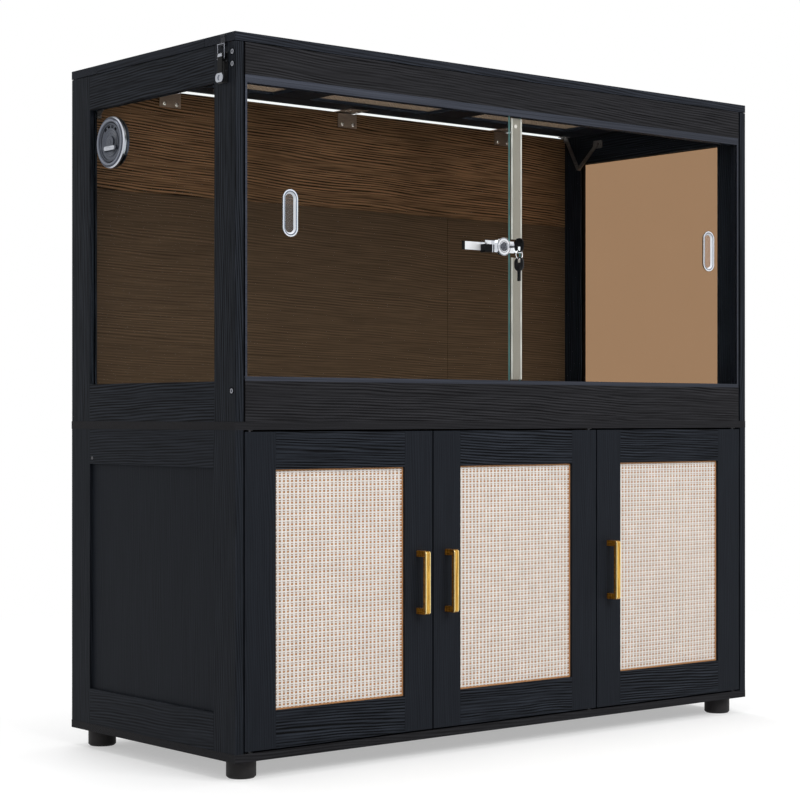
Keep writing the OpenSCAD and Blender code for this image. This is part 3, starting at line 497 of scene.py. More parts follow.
def clear(name, tint, roughness, weight=1.0, ior=GLASS_IOR, right_painted_reflection=None):
    """Glass or clear plastic that lets lamps through. The right half of the cabinet may have a
    painted
    reflection: a colour standing in for the lamp-lit interior reflected in the glass, which the
    lamp light it lets through takes too."""
    shader = Shader(name, roughness=roughness)
    shader.set("IOR", ior)
    shader.set("Transmission Weight", weight)
    smear = shader.noise(shader.place(), GLASS_SMEARS)
    dusty = tuple(c * DUST for c in tint[:3]) + (1,)
    colour = shader.blend(shader.remap(smear, 0.35, 0.65), tint, dusty)
    path = shader.node("ShaderNodeLightPath")
    through = shader.node("ShaderNodeBsdfTransparent")
    through.inputs["Color"].default_value = tint
    # Painted reflection on the right half, also given to the lamp light the glass lets through
    if right_painted_reflection:
        right = shader.math("GREATER_THAN", shader.axes(shader.place())[0], 0.0)
        colour = shader.blend(right, colour, right_painted_reflection)
        shader.link(shader.blend(right, tint, right_painted_reflection), through.inputs["Color"])
    shader.feed("Base Color", colour)
    mix = shader.node("ShaderNodeMixShader")
    shader.link(path.outputs["Is Shadow Ray"], mix.inputs[0])
    shader.link(shader.bsdf.outputs[0], mix.inputs[1])
    shader.link(through.outputs[0], mix.inputs[2])
    shader.link(mix.outputs[0], shader.output.inputs["Surface"])
    return shader.material


def weave_material(name, colour, other, lining=None):
    """Woven fibre; a lining is the colour of the sheet's back, behind LINING_Y."""
    shader = Shader(name, roughness=0.6, specular=0.3)
    place = shader.place()
    threads = shader.noise(shader.stretch(place, WEAVE_THREADS), 1.0, detail=2.0)
    patches = shader.noise(place, WEAVE_PATCHES, detail=2.0)
    tone = shader.math("MULTIPLY", shader.remap(threads, 0.25, 0.75),
                       shader.remap(patches, 0.3, 0.7, 0.6, 1.0))
    colour = shader.blend(tone, colour, other)
    if lining:
        behind = shader.math("GREATER_THAN", shader.axes(place)[1], FRONT + LINING_Y * MM)
        colour = shader.blend(behind, colour, lining)
    shader.feed("Base Color", colour)
    shader.bump(threads, 0.25, 0.0002)
    return shader.material


# ---- Mesh helpers ----

SHARP_ANGLE = 40


def piece(name, body, material, verts, faces, smooth=False, replaces=()):
    """A new piece from row-frame points, riding on a body."""
    mesh = bpy.data.meshes.new(name)
    mesh.from_pydata([tuple(v) for v in verts], [], faces)
    finish_piece(name, body, material, mesh, smooth, replaces)


def face_outwards(mesh):
    """Turns every face's normal outwards."""
    tidy = bmesh.new()
    tidy.from_mesh(mesh)
    bmesh.ops.recalc_face_normals(tidy, faces=tidy.faces)
    tidy.to_mesh(mesh)
    tidy.free()


def finish_piece(name, body, material, mesh, smooth=False, replaces=()):
    face_outwards(mesh)
    if smooth:
        mesh.shade_smooth()
        mesh.set_sharp_from_angle(angle=math.radians(SHARP_ANGLE))
    obj = bpy.data.objects.new(name, mesh)
    bpy.context.scene.collection.objects.link(obj)
    mesh.materials.append(material)
    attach(obj, body)
    if replaces:
        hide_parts(*replaces)


class Shape:
    """Points and faces collected from several simple forms."""

    def __init__(self):
        self.verts, self.faces = [], []

    def add(self, verts, faces):
        start = len(self.verts)
        self.verts += [Vector(v) for v in verts]
        self.faces += [tuple(start + i for i in face) for face in faces]

    def sweep(self, rings, closed=False):
        """Joins rings of points, with end caps unless the path is closed."""
        count = len(rings[0])
        verts = [p for ring in rings for p in ring]
        faces = []
        last = len(rings) if closed else len(rings) - 1
        for i in range(last):
            a, b = i * count, ((i + 1) % len(rings)) * count
            for k in range(count):
                n = (k + 1) % count
                faces.append((a + k, a + n, b + n, b + k))
        if not closed:
            faces.append(tuple(range(count)))
            faces.append(tuple(reversed(range(len(verts) - count, len(verts)))))
        self.add(verts, faces)

    def block(self, low, high):
        """A plain block between two corners in cabinet millimetres."""
        xs, ys, zs = zip(low, high)
        corners = [at(x, y, z) for x in xs for y in ys for z in zs]
        self.add(corners, [(0, 1, 3, 2), (4, 6, 7, 5), (0, 4, 5, 1),
                           (2, 3, 7, 6), (0, 2, 6, 4), (1, 5, 7, 3)])


def lathe(profile, steps=32):
    """A solid of revolution about +Z from (radius, height) points, from its bottom to its
    top."""
    turns = [2 * math.pi * k / steps for k in range(steps)]
    shape = Shape()
    shape.sweep([[Vector((radius * math.cos(turn), radius * math.sin(turn), height))
                  for turn in turns] for radius, height in profile])
    return shape


def turn_to(axis):
    """The rotation that takes +Z to a direction."""
    return Vector((0, 0, 1)).rotation_difference(Vector(axis)).to_matrix().to_4x4()


# ---- Screws ----

HEAD_PROFILE = ((1, 0.25), (0.93, 0.62), (0.7, 0.88), (0.4, 0.98), (0.1, 1))
HEAD_STEPS = 28
SEAT_R, SEAT_DEPTH = 0.96, 0.0001
CROSS_ARM, CROSS_HALF_W, CROSS_FLOOR = 0.56, 0.16, 0.45


def shape_object(name, shape):
    """A scratch object for cutting, with its normals outwards."""
    mesh = bpy.data.meshes.new(name)
    mesh.from_pydata([tuple(v) for v in shape.verts], [], shape.faces)
    face_outwards(mesh)
    obj = bpy.data.objects.new(name, mesh)
    bpy.context.scene.collection.objects.link(obj)
    return obj


def screw_mesh(radius, height):
    """A pan head with a cross recess, in metres, its seat at z 0 and its top at +z."""
    profile = [(radius * SEAT_R, -SEAT_DEPTH)]
    profile += [(radius * r, height * h) for r, h in HEAD_PROFILE]
    blank = shape_object("screw_blank", lathe(profile, HEAD_STEPS))
    arm, width = radius * CROSS_ARM, radius * CROSS_HALF_W
    cross = Shape()
    outline = [(width, width), (width, arm), (-width, arm), (-width, width), (-arm, width),
               (-arm, -width), (-width, -width), (-width, -arm), (width, -arm),
               (width, -width), (arm, -width), (arm, width)]
    cross.sweep([[Vector((x, y, z)) for x, y in outline]
                 for z in (height * CROSS_FLOOR, height * 2)])
    cutter = shape_object("screw_cross", cross)
    cut = blank.modifiers.new("cut", "BOOLEAN")
    cut.operation, cut.object, cut.solver = "DIFFERENCE", cutter, "EXACT"
    graph = bpy.context.evaluated_depsgraph_get()
    made = bpy.data.meshes.new_from_object(blank.evaluated_get(graph))
    for obj in (blank, cutter):
        bpy.data.objects.remove(obj)
    return made


SCREWS = {"small": screw_mesh(1.7 * MM, 0.9 * MM), "medium": screw_mesh(2.6 * MM, 1.2 * MM),
          "large": screw_mesh(4.0 * MM, 1.9 * MM)}


def screws(name, body, material, size, spots):
    """Screw heads at (place, outward axis) spots, as one piece."""
    joined = bmesh.new()
    for place, axis in spots:
        part = SCREWS[size].copy()
        part.transform(Matrix.Translation(place) @ turn_to(axis))
        joined.from_mesh(part)
        bpy.data.meshes.remove(part)
    mesh = bpy.data.meshes.new(name)
    joined.to_mesh(mesh)
    joined.free()
    finish_piece(name, body, material, mesh, smooth=True)


# ---- Woven door panels ----

WEAVE_PITCH_X, WEAVE_PITCH_Z = 8.0, 8.7
WEAVE_STEPS = 3
WEAVE_WAVE = 0.12
# Across an upright bar, and across a cord, as shares of half its width and thickness
BAR_OUTLINE = ((-1, 0.3), (-0.7, -0.8), (0, -1), (0.7, -0.8), (1, 0.3), (0, 1))
CORD_OUTLINE = ((-1, 0.5), (-0.8, -0.5), (0, -0.9), (0.8, -0.5), (1, 0.5))
BAR_W, BAR_T = 4.0, 0.8
# The cords of each row: place as a share of the row, height, and Y from the strands' middle
CORDS = ((0.5, 2.5, -0.3), (0.1, 1.5, 0.1))
CORD_T = 0.8
SHEET_Y = 6.9
STRAND_Y = 6.1
PANEL_IN_GROOVE = 7.0
BINDING_W, BINDING_Y, BINDING_MARGIN = 2.4, 5.15, 2.0


def woven_panel(number, weave, backing):
    """A door's panel: backing sheet, upright bars with cords woven across, and binding in the
    backing's tan, which is partly painted shade along the panel's edges under the door frame.
    """
    body = f"door_{number}"
    low, high = cabinet_box(f"door_{number}_panel")
    x0, x1 = low.x + PANEL_IN_GROOVE, high.x - PANEL_IN_GROOVE
    z0, z1 = low.z + PANEL_IN_GROOVE, high.z - PANEL_IN_GROOVE
    sheet = Shape()
    sheet.block((low.x, SHEET_Y, low.z), (high.x, high.y, high.z))
    piece(f"door_{number}_panel_backing", body, backing, sheet.verts, sheet.faces,
          replaces=(f"door_{number}_panel",))
    columns = round((x1 - x0) / WEAVE_PITCH_X)
    rows = round((z1 - z0) / WEAVE_PITCH_Z)
    pitch_x, pitch_z = (x1 - x0) / columns, (z1 - z0) / rows
    strands = Shape()
    for i in range(columns + 1):
        x = x0 + i * pitch_x
        rings = []
        for k in range(WEAVE_STEPS * rows + 1):
            z = z0 + k * pitch_z / WEAVE_STEPS
            turn = math.pi * (k / WEAVE_STEPS - 0.5 + i)
            y = STRAND_Y - WEAVE_WAVE * math.cos(turn)
            rings.append([at(x + dx * BAR_W / 2, y + dy * BAR_T / 2, z)
                          for dx, dy in BAR_OUTLINE])
        strands.sweep(rings)
    for j in range(rows):
        for share, height, forward in CORDS:
            z = z0 + (j + share) * pitch_z
            rings = []
            for k in range(WEAVE_STEPS * columns + 1):
                x = x0 + k * pitch_x / WEAVE_STEPS
                turn = math.pi * (2 * k / WEAVE_STEPS + j)
                y = STRAND_Y + forward + WEAVE_WAVE * math.cos(turn)
                rings.append([at(x, y + dy * CORD_T / 2, z + dz * height / 2)
                              for dz, dy in CORD_OUTLINE])
            strands.sweep(rings)
    piece(f"door_{number}_panel_strands", body, weave, strands.verts, strands.faces,
          smooth=True)
    # The binding takes the backing's tan: a trim, and partly painted shade cast by the door
    # frame on the panel's edges
    shaded_binding = Shape()
    in_x0, in_x1 = x0 + BINDING_W, x1 - BINDING_W
    for from_x, from_z, to_x, to_z in ((x0 - BINDING_MARGIN, z0, in_x0, z1),
                                       (in_x1, z0, x1, z1),
                                       (in_x0, z0, in_x1, z0 + BINDING_W),
                                       (in_x0, z1 - BINDING_W, in_x1, z1)):
        shaded_binding.block((from_x, BINDING_Y, from_z), (to_x, SHEET_Y, to_z))
    piece(f"door_{number}_panel_shaded_binding", body, backing, shaded_binding.verts, shaded_binding.faces)


# ---- Lid mesh ----

WIRE_PITCH = 3.4
WIRE_R = 0.42
WIRE_WAVE = WIRE_R * 0.45
WIRE_REACH = 7.0
LID_WINDOWS = 3
LID_BAR_W = 82.5


def wire(shape, start, end, steps, wave):
    """A wire from start to end in cabinet millimetres, waving up and down by wave."""
    along = Vector(end) - Vector(start)
    side = Vector((0, 0, 1)).cross(along.normalized())
    rings = []
    for k in range(steps + 1):
        middle = Vector(start) + along * (k / steps)
        middle.z += wave * (1 if k % 2 else -1)
        ring = []
        for turn in range(4):
            angle = math.pi / 4 + turn * math.pi / 2
            ring.append(at(*(middle + side * (WIRE_R * math.cos(angle))
                             + Vector((0, 0, WIRE_R * math.sin(angle))))))
        rings.append(ring)
    shape.sweep(rings)


def lid_mesh_wires(material):
    """Woven wires in each of the lid's windows."""
    low, high = cabinet_box("lid_mesh")
    z = centre("lid_mesh").z
    window_w = (CABINET_W - (LID_WINDOWS + 1) * LID_BAR_W) / LID_WINDOWS
    for i in range(LID_WINDOWS):
        x0 = LID_BAR_W + i * (window_w + LID_BAR_W) - WIRE_REACH
        x1 = x0 + window_w + 2 * WIRE_REACH
        shape = Shape()
        across = round((x1 - x0) / WIRE_PITCH)
        deep = round((high.y - low.y) / WIRE_PITCH)
        step_x, step_y = (x1 - x0) / across, (high.y - low.y) / deep
        for k in range(1, across):
            x = x0 + k * step_x
            wire(shape, (x, low.y, z), (x, high.y, z), deep, WIRE_WAVE if k % 2 else -WIRE_WAVE)
        for k in range(1, deep):
            y = low.y + k * step_y
            wire(shape, (x0, y, z), (x1, y, z), across, -WIRE_WAVE if k % 2 else WIRE_WAVE)
        piece(f"lid_mesh_{i + 1}", "lid", material, shape.verts, shape.faces,
              replaces=("lid_mesh",) if i == 0 else ())


# ---- Fasteners and glass trim ----


def both_sides(spots):
    """The spots of the left side, and their mirror images on the right side."""
    return spots + [((CABINET_W - x, y, z), (-ax, ay, az)) for (x, y, z), (ax, ay, az) in spots]


def grid(xs, ys, zs, axis):
    """Spots at every mix of the places, in cabinet millimetres, facing along axis."""
    return [((x, y, z), axis) for x in xs for y in ys for z in zs]


def placed(spots):
    return [(at(*place), axis) for place, axis in spots]


HINGE_W = 45
HINGE_FACE_Y = 480.0
HINGE_SCREW_DX = (-13, 13)
HINGE_SCREW_Z = 1133.5
HINGE_LID_SCREW_YS = (454, 468)
STAY_LID_SCREW_X, STAY_LID_SCREW_YS = 32, (463, 473)
LID_SCREW_Z = 1156.5
STAY_SCREW_X, STAY_SCREW_YS, STAY_SCREW_Z = 16.3, (375.5, 392.5), 1135
ELBOW = (17.3, 437.0, 1089.3)
RIVET_R, RIVET_H = 4.2, 0.9
SIDE_PLUG = (0.5, 427, 500)
PLUG_R, PLUG_H = 3.0, 0.3
LATCH_FACE_X = -1.0
CATCH_SCREW_YS, CATCH_SCREW_Z = (28.5, 35.5), 1167.5
BASE_SCREW_YS, BASE_SCREW_ZS = (22.3, 41.7), (1112, 1128)
HANDLE_SCREW_ZS = (246, 342)


def fasteners(steel, dark_steel, pin_steel):
    """The screws, rivets and plugs that hold the hinges, stays, latches and handles."""
    hinge_low, hinge_high = cabinet_box("lid_hinge_lower_leaves")
    middles = (hinge_low.x + HINGE_W / 2, CABINET_W / 2, hinge_high.x - HINGE_W / 2)
    hinge_xs = [x + dx for x in middles for dx in HINGE_SCREW_DX]
    hinge_wall = grid(hinge_xs, (HINGE_FACE_Y,), (HINGE_SCREW_Z,), (0, -1, 0))
    lid = grid(hinge_xs, HINGE_LID_SCREW_YS, (LID_SCREW_Z,), (0, 0, -1))
    lid += both_sides(grid((STAY_LID_SCREW_X,), STAY_LID_SCREW_YS, (LID_SCREW_Z,), (0, 0, -1)))
    stays = both_sides(grid((STAY_SCREW_X,), STAY_SCREW_YS, (STAY_SCREW_Z,), (1, 0, 0)))
    catches = both_sides(grid((LATCH_FACE_X,), CATCH_SCREW_YS, (CATCH_SCREW_Z,), (-1, 0, 0)))
    bases = both_sides(grid((LATCH_FACE_X,), BASE_SCREW_YS, BASE_SCREW_ZS, (-1, 0, 0)))
    rivets = both_sides([(ELBOW, (-1, 0, 0))])
    plugs = both_sides([(SIDE_PLUG, (-1, 0, 0))])
    screws("lid_hinge_wall_screws", "root", steel, "large", placed(hinge_wall))
    screws("lid_screws", "lid", steel, "medium", placed(lid))
    screws("stay_screws", "root", steel, "small", placed(stays))
    discs("stay_rivets", "stay_lower_arms", steel, RIVET_R, RIVET_H,
          placed(rivets))
    discs("side_plugs", "root", pin_steel, PLUG_R, PLUG_H, placed(plugs))
    screws("catch_screws", "lid", dark_steel, "small", placed(catches))
    screws("latch_base_screws", "root", dark_steel, "small", placed(bases))
    for number in DOORS:
        x = centre(f"door_{number}_handle").x
        door_back = cabinet_box(f"door_{number}_frame")[1].y
        spots = grid((x,), (door_back,), HANDLE_SCREW_ZS, (0, 1, 0))
        screws(f"door_{number}_handle_screws", f"door_{number}", pin_steel,
               "large", placed(spots))


DISC_PROFILE = ((1, 0), (1, 0.6), (0.7, 0.95), (0.1, 1))


def discs(name, body, material, radius, height, spots):
    """Low domed discs at (place, outward axis) spots, as one piece."""
    shape = Shape()
    for place, axis in spots:
        one = lathe([(radius * r * MM, height * h * MM) for r, h in DISC_PROFILE])
        move = Matrix.Translation(place) @ turn_to(axis)
        shape.add([move @ v for v in one.verts], one.faces)
    piece(name, body, material, shape.verts, shape.faces, smooth=True)


VENT_Y, VENT_Z = 373.5, 1037
PLATE_X = 4.5
PLATE_PROFILE = ((24.6, 0), (24.6, 0.8), (23.9, 1.1), (23.1, 1.1), (22.3, 0.45), (11.2, 0.45),
                 (11.2, 0.05))
GRIP_XS = (1.22, 1.05)
GRIP_HALF, GRIP_R, GRIP_DROP, GRIP_STEPS = 13, 3.6, 10, 24
PLATE_STEPS = 64


def vent_trim(metal, grip):
    """The dial's raised inner plate, and the bright face of its grip."""
    plate = lathe([(r * MM, h * MM) for r, h in PLATE_PROFILE], PLATE_STEPS)
    move = Matrix.Translation(at(PLATE_X, VENT_Y, VENT_Z)) @ turn_to((-1, 0, 0))
    piece("vent_dial_plate", "vent_dial", metal,
          [move @ v for v in plate.verts], plate.faces, smooth=True)
    face = Shape()
    rings = []
    for x in GRIP_XS:
        outline = []
        for k in range(GRIP_STEPS):
            angle = 2 * math.pi * k / GRIP_STEPS
            end = GRIP_HALF if math.cos(angle) >= 0 else -GRIP_HALF
            outline.append(at(x, VENT_Y + end + GRIP_R * math.cos(angle),
                              VENT_Z - GRIP_DROP + GRIP_R * math.sin(angle)))
        rings.append(outline)
    face.sweep(rings)
    piece("vent_grip_face", "vent_dial", grip, face.verts, face.faces)


def oval(x, z, width, height, steps=8):
    """Points around an upright oval with half-round ends, in cabinet millimetres."""
    r = width / 2
    points = []
    for corner in range(4):
        up = 1 if corner < 2 else -1
        for k in range(steps):
            angle = math.pi / 2 * (corner + k / steps)
            points.append((x + r * math.cos(angle),
                           z + up * (height / 2 - r) + r * math.sin(angle)))
    return points


def oval_band(x, z, outer, inner, depth):
    """A band between two ovals given as (width, height, y)."""
    rings = []
    pairs = zip(oval(x, z, *outer[:2]), oval(x, z, *inner[:2]))
    for (ox, oz), (ix, iz) in pairs:
        rings.append([at(ox, outer[2], oz), at(ix, inner[2], iz),
                      at(ix, inner[2] + depth, iz), at(ox, outer[2] + depth, oz)])
    band = Shape()
    band.sweep(rings, closed=True)
    return band


# A pull is an upright oval, taller than wide by PULL_TALLER. Each band has an outer and an
# inner width, and a thickness
PULL_TALLER = 46.0
PULL_RIM, PULL_FACE, PULL_WALL = (29.6, 25.8, 0.3), (25.6, 22.2, 0.25), (21.6, 16.4, 0.2)
PULL_PROUD, WALL_TOP, PULL_FLOOR = 0.12, 0.2, 1.25


def pull_band(x, z, sizes, front, back):
    """A band of a pull, its outer edge at depth front and its inner edge at depth back."""
    outer, inner, thickness = sizes
    return oval_band(x, z, (outer, outer + PULL_TALLER, front),
                     (inner, inner + PULL_TALLER, back), thickness)


def pull_trim(white, shade):
    """Painted highlights and painted shade on the clear finger pulls: their edges and cup walls
    in white for the light the clear plastic catches, and their faces in a greyer shade.
    """
    for side in ("left", "right"):
        low, high = cabinet_box(f"{side}_pull")
        x, _, z = centre(f"{side}_pull")
        body = f"{side}_glass_door"
        front = low.y - PULL_PROUD
        rim = pull_band(x, z, PULL_RIM, front, front)
        wall = pull_band(x, z, PULL_WALL, low.y + WALL_TOP, high.y - PULL_FLOOR)
        rim.add(wall.verts, wall.faces)
        # Painted highlight: the rim and cup walls are white, for the light the clear plastic
        # catches
        piece(f"{side}_pull_rim_highlight", body, white, rim.verts, rim.faces)
        face = pull_band(x, z, PULL_FACE, front, front)
        # Painted shade: the faces are a greyer blue
        piece(f"{side}_pull_face_shade", body, shade, face.verts, face.faces)


# Painted shade: dark steel bands a little proud of the collar's face, where turned grooves would
# hold shade
GROOVE_SHADES = ((30.4, 28.2), (20.6, 18.8))
SHADE_PROUD, SHADE_THICKNESS = 0.1, 0.2


def lock_trim(steel):
    """Painted shade on the face of the lock's collar: dark bands where turned grooves would hold
    shade, by their outer and inner widths.
    """
    x, _, z = centre("lock_cylinder")
    face = cabinet_box("lock_body")[0].y - SHADE_PROUD
    groove_shades = Shape()
    for outer, inner in GROOVE_SHADES:
        band = oval_band(x, z, (outer, outer, face), (inner, inner, face), SHADE_THICKNESS)
        groove_shades.add(band.verts, band.faces)
    piece("lock_collar_groove_shades", "lock", steel, groove_shades.verts, groove_shades.faces)


EDGE_SKIN, EDGE_INSET = 0.05, 0.3
RIB_W, RIB_INSET, RIB_NOTCH = 2.2, 3.2, 16
RIB_PROUD, RIB_SUNK = 0.15, 0.1
SEAL_RIVET_IN, SEAL_RIVET_DOWN = 10, 14
SEAL_RIVET_R, SEAL_RIVET_H = 3.4, 0.25


def glass_trim(edge, light, steel):
    """Ground edges of the sliding panes, and the seal strip's ribs and rivet. The right
    pane's outer edge stays in its dark channel."""
    for side in ("left", "right"):
        low, high = cabinet_box(f"{side}_pane")
        skin = Shape()
        for x in (low.x, high.x) if side == "left" else (low.x,):
            skin.block((x - EDGE_SKIN, low.y + EDGE_INSET, low.z + EDGE_INSET),
                       (x + EDGE_SKIN, high.y - EDGE_INSET, high.z - EDGE_INSET))
        piece(f"{side}_pane_edges", f"{side}_glass_door", edge, skin.verts, skin.faces)
    low, high = cabinet_box("seal_strip")
    ribs = Shape()
    lock_z = centre("lock_body").z
    for z0, z1 in ((low.z, lock_z - RIB_NOTCH), (lock_z + RIB_NOTCH, high.z)):
        for x in (low.x, high.x - RIB_INSET):
            ribs.block((x, low.y - RIB_PROUD, z0), (x + RIB_W, low.y + RIB_SUNK, z1))
    piece("seal_strip_ribs", "left_glass_door", light, ribs.verts, ribs.faces)
    rivet = at(low.x + SEAL_RIVET_IN, low.y, high.z - SEAL_RIVET_DOWN)
    discs("seal_strip_rivet", "left_glass_door", steel, SEAL_RIVET_R,
          SEAL_RIVET_H, [(rivet, (0, -1, 0))])


# ---- Finishes of the CAD nodes ----

WELD_DISTANCE = 0.00002
EASED_ANGLE = 40
WOOD_EDGE, BACK_EDGE, BACK_JOINT, TRACK_EDGE = 0.7, 0.4, 0.8, 0.15
HANDLE_EDGE_R, HANDLE_EDGE_STEPS = 1.8, 4
# Where the rails run between the stiles, and the depth in front of which a back is inside
UPPER_RAILS = ("Y", 58, 434.5, "Y")
BASE_RAILS = ("Y", 60, 434.5, "Y")
LID_RAILS = ("Y", 84.5, 410.5, "Y")
DOOR_STILE_W = 60
UPPER_BACK_Y, BASE_BACK_Y = 488, 488.5
BOARDS = (("bottom_board", 0.12), ("terrarium_floor", 0.07), ("header_board", 0.19),
          ("apron_board", 0.19))
LEVER_BLACK = ("Z", 1109.3, 1135.0)
BAR_TIP = 6
NOSE_W, NOSE_RISE = 17.0, 3.5
BOW_DEPTH, BLADE_REACH = 22.2, 60
# The outermost band, bright silver all round, is a painted highlight on the rim
VENT_BANDS = ((35.5, srgb(112, 116, 126)), (39.3, srgb(74, 78, 88)),
              (42.0, srgb(186, 189, 197)))
# Two colours, roughness, how fast the lines change along X, Y and Z, and metallic
METALS = {
    "alloy": ((46, 49, 56), (64, 67, 76), 0.4, (4, 900, 900), 1.0),
    "grip_metal": ((150, 153, 161), (196, 199, 206), 0.22, (900, 60, 900), 1.0),
    "bolt_steel": ((104, 106, 112), (150, 152, 158), 0.2, (900, 900, 900), 1.0),
    "screw_steel": ((214, 206, 198), (236, 230, 224), 0.25, (900, 900, 900), 1.0),
    # The hinge steel's warm brown is partly painted light: the warm lamp light on the hinges
    "hinge_steel": ((134, 114, 100), (164, 144, 128), 0.34, (60, 900, 900), 0.7),
    "stay_steel": ((104, 98, 96), (142, 136, 132), 0.34, (900, 60, 900), 0.8),
    "catch_steel": ((30, 31, 35), (56, 57, 62), 0.3, (900, 900, 60), 1.0),
    "latch_wire": ((84, 86, 94), (140, 142, 150), 0.25, (900, 900, 60), 1.0),
    "chrome": ((214, 216, 220), (236, 237, 240), 0.1, (80, 80, 80), 1.0),
    "plug_steel": ((70, 72, 78), (108, 110, 116), 0.25, (300, 300, 300), 1.0),
    "pin_steel": ((60, 60, 63), (86, 86, 90), 0.35, (300, 300, 300), 1.0),
    "mesh_metal": ((116, 98, 82), (150, 130, 110), 0.5, (200, 200, 200), 0.3),
}
# Two colours, roughness and specular level
PLASTICS = {
    "latch_black": ((10, 10, 12), (17, 17, 19), 0.35, 0.2),
    "key_plastic": ((12, 12, 14), (20, 20, 23), 0.32, 0.4),
    "foot_plastic": ((26, 25, 26), (38, 36, 37), 0.6, 0.2),
    "glass_edge": ((96, 142, 140), (120, 168, 164), 0.2, 0.5),
    "seal_light": ((176, 172, 166), (206, 203, 198), 0.35, 0.4),
}
# Which material each metal, glass and plastic node has
NODE_MATERIALS = {
    "foot_plastic": ("feet",),
    "side_glass": ("side_glass",),
    "bolt_steel": ("frame_bolts",),
    "pin_steel": ("shelf_pins", "door_1_pivots", "door_2_pivots", "door_3_pivots"),
    "vent_metal": ("vent_ring", "vent_dial"),
    "hinge_steel": ("lid_hinge_lower_leaves", "lid_hinge_upper_leaves", "lid_hinge_pins"),
    "stay_steel": ("stay_side_brackets", "stay_lid_brackets", "stay_lower_arms",
                   "stay_upper_arms"),
    "latch_black": ("latch_bases",),
    "catch_steel": ("latch_catches",),
    "latch_lever": ("latch_lever_left", "latch_lever_right"),
    "latch_wire": ("latch_bail_left", "latch_bail_right"),
    "glass": ("left_pane", "right_pane"),
    "clear_plastic": ("left_pull", "right_pull"),
    "seal_plastic": ("seal_strip",),
    "ratchet_bar": ("ratchet_bar",),
    "lock_body": ("lock_body",),
    "plug_steel": ("lock_cylinder",),
    "key": ("key",),
    "key_plastic": ("spare_key", "door_pivot_bushes"),
    "chrome": ("key_ring",),
}


def finish_node(name, material, bevel=0.0, segments=2):
    """Gives a CAD node its material, and eases its edges by bevel millimetres."""
    obj = NODES[name]
    obj.data.materials.clear()
    obj.data.materials.append(material)
    if bevel:
        weld = obj.modifiers.new("weld", "WELD")
        weld.merge_threshold = WELD_DISTANCE
        ease = obj.modifiers.new("ease", "BEVEL")
        ease.width = bevel * MM
        ease.segments = segments
        ease.limit_method = "ANGLE"
        ease.angle_limit = math.radians(EASED_ANGLE)


def finish_wood():
    """Wood-grain laminate for the boards, frames, panels and backs."""
    def finish(node, name, bevel, *settings, **more):
        finish_node(node, wood(name, *settings, **more), bevel)

    finish("upper_side_frames", "upper_side_wood", WOOD_EDGE, "Z", BLUE_BLACK, UPPER_RAILS,
           seed=1, contrast=0.26, plain=0.9)
    finish("base_side_frames", "base_side_wood", WOOD_EDGE, "Z", BLUE_BLACK, BASE_RAILS,
           seed=2, contrast=0.16, plain=0.8)
    finish("base_side_panels", "side_panel_wood", 0, "Z", BLUE_BLACK, seed=3, contrast=0.07)
    for seed, (board, contrast) in enumerate(BOARDS, 4):
        finish(board, f"{board}_wood", WOOD_EDGE, "X", BLACK, seed=seed, contrast=contrast)
    finish("lid_frame", "lid_wood", WOOD_EDGE, "X", LID_BLACK, LID_RAILS, seed=9,
           contrast=0.16)
    for number in DOORS:
        low, high = cabinet_box(f"door_{number}_frame")
        rails = ("X", low.x + DOOR_STILE_W, high.x - DOOR_STILE_W, "X")
        finish(f"door_{number}_frame", f"door_{number}_wood", WOOD_EDGE, "Z", BLUE_BLACK,
               rails, seed=10 + number, contrast=0.3, plain=0.21)
    # The upper plank's inner face is partly painted lamp light
    finish("back_upper_plank", "back_plank_wood", BACK_EDGE, "X", BLACK, seed=20,
           contrast=0.22, inner=(UPPER_BACK_Y, INNER))
    finish("back_lower_boards", "back_lower_wood", BACK_JOINT, "X", BLACK, seed=21,
           inner=(UPPER_BACK_Y, INNER_PLAIN))
    finish("base_back_panels", "base_back_wood", BACK_EDGE, "X", BLACK, seed=22,
           inner=(BASE_BACK_Y, INNER_PLAIN))
    for node, grain in (("base_divider", "Z"), ("base_shelves", "X")):
        finish(node, f"{node}_wood", BACK_EDGE, grain, INNER_PLAIN, seed=30)


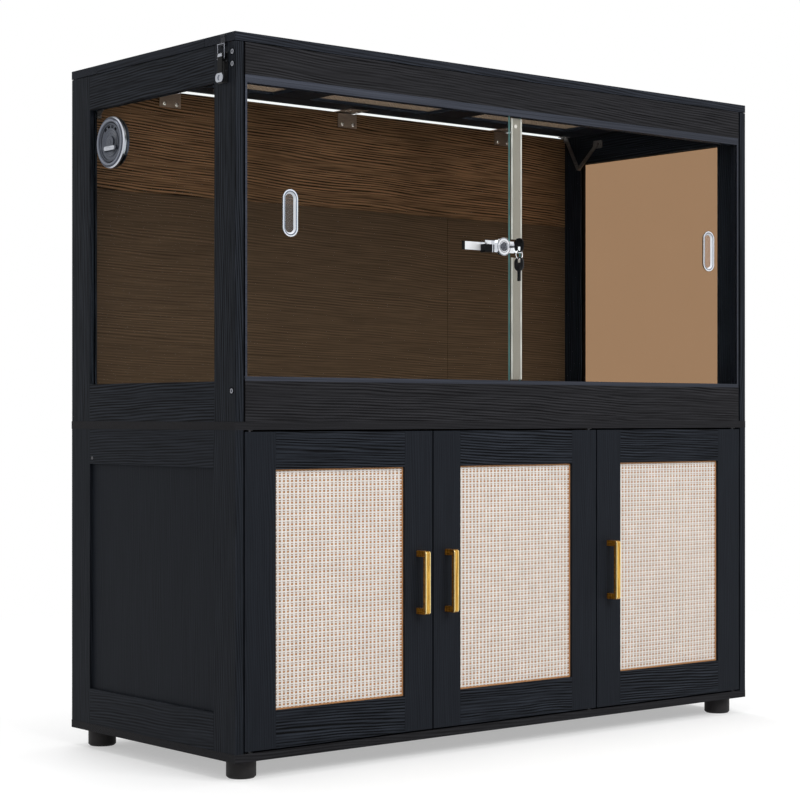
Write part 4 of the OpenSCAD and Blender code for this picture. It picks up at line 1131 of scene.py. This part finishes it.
def make_materials():
    """The metals, glass, plastics and weave, by name."""
    made = {}
    for name, (colour, other, roughness, scale, metallic) in METALS.items():
        made[name] = brushed_metal(name, srgb(*colour), srgb(*other), roughness, scale, metallic)
    for name, (colour, other, roughness, specular) in PLASTICS.items():
        made[name] = plastic(name, srgb(*colour), srgb(*other), roughness, specular)
    made["vent_metal"] = turned_metal("vent_metal", srgb(60, 63, 71), srgb(92, 96, 105), 0.3,
                                      (VENT_Y, VENT_Z), 0.9, VENT_BANDS)
    bright = (srgb(228, 230, 234), 1.0, 0.12)
    black = (srgb(8, 8, 9), 0.0, 0.4)
    made["latch_lever"] = two_finishes("latch_lever", [LEVER_BLACK], black,
                                       (srgb(168, 171, 178), 1.0, 0.2))
    bar_x = cabinet_box("ratchet_bar")[0].x
    made["ratchet_bar"] = two_finishes("ratchet_bar", [("X", bar_x - 1, bar_x + BAR_TIP)],
                                       black, (srgb(236, 237, 240), 0.5, 0.25))
    lock = cabinet_box("lock_body")[0]
    nose = [("X", lock.x - 1, lock.x + NOSE_W),
            ("Z", lock.z - 1, centre("lock_body").z + NOSE_RISE)]
    made["lock_body"] = two_finishes("lock_body", nose, black, bright)
    blade_y = cabinet_box("key")[0].y + BOW_DEPTH
    made["key"] = two_finishes("key", [("Y", blade_y, blade_y + BLADE_REACH)], bright,
                               (srgb(12, 12, 14), 0.0, 0.3))
    made["glass"] = clear("glass", GLASS_TINT, 0.0)
    made["side_glass"] = clear("side_glass", GLASS_TINT, 0.0, right_painted_reflection=RIGHT_PAINTED_REFLECTION)
    made["clear_plastic"] = clear("clear_plastic", (0.95, 0.96, 0.98, 1), 0.05, ior=1.42)
    # Painted highlight and painted shade of the clear pulls
    made["pull_painted_highlight"] = clear("pull_painted_highlight", srgb(236, 239, 244), 0.15, weight=0.25, ior=1.4)
    made["pull_painted_shade"] = clear("pull_painted_shade", srgb(150, 164, 180), 0.1, weight=0.6, ior=1.3)
    made["seal_plastic"] = clear("seal_plastic", srgb(178, 170, 160), 0.3, weight=0.6, ior=1.3)
    made["weave"] = weave_material("weave", srgb(208, 202, 195), srgb(250, 245, 240))
    made["backing"] = weave_material("weave_backing", srgb(170, 118, 74),
                                     srgb(214, 160, 110), lining=srgb(190, 170, 146))
    return made


def main():
    bpy.context.scene.view_settings.view_transform = "Standard"
    make_camera()
    make_lights()
    make_world()
    make_floor()
    made = make_materials()
    finish_wood()
    for name, nodes in NODE_MATERIALS.items():
        for node in nodes:
            finish_node(node, made[name])
    for node in ("top_track", "bottom_track", "side_channels"):
        finish_node(node, made["alloy"], TRACK_EDGE)
    for number in DOORS:
        handle = f"door_{number}_handle"
        finish_node(handle, handle_brass(handle), HANDLE_EDGE_R, HANDLE_EDGE_STEPS)
        woven_panel(number, made["weave"], made["backing"])
    lid_mesh_wires(made["mesh_metal"])
    fasteners(made["screw_steel"], made["catch_steel"], made["pin_steel"])
    vent_trim(made["vent_metal"], made["grip_metal"])
    glass_trim(made["glass_edge"], made["seal_light"], made["screw_steel"])
    pull_trim(made["pull_painted_highlight"], made["pull_painted_shade"])
    lock_trim(made["plug_steel"])


main()
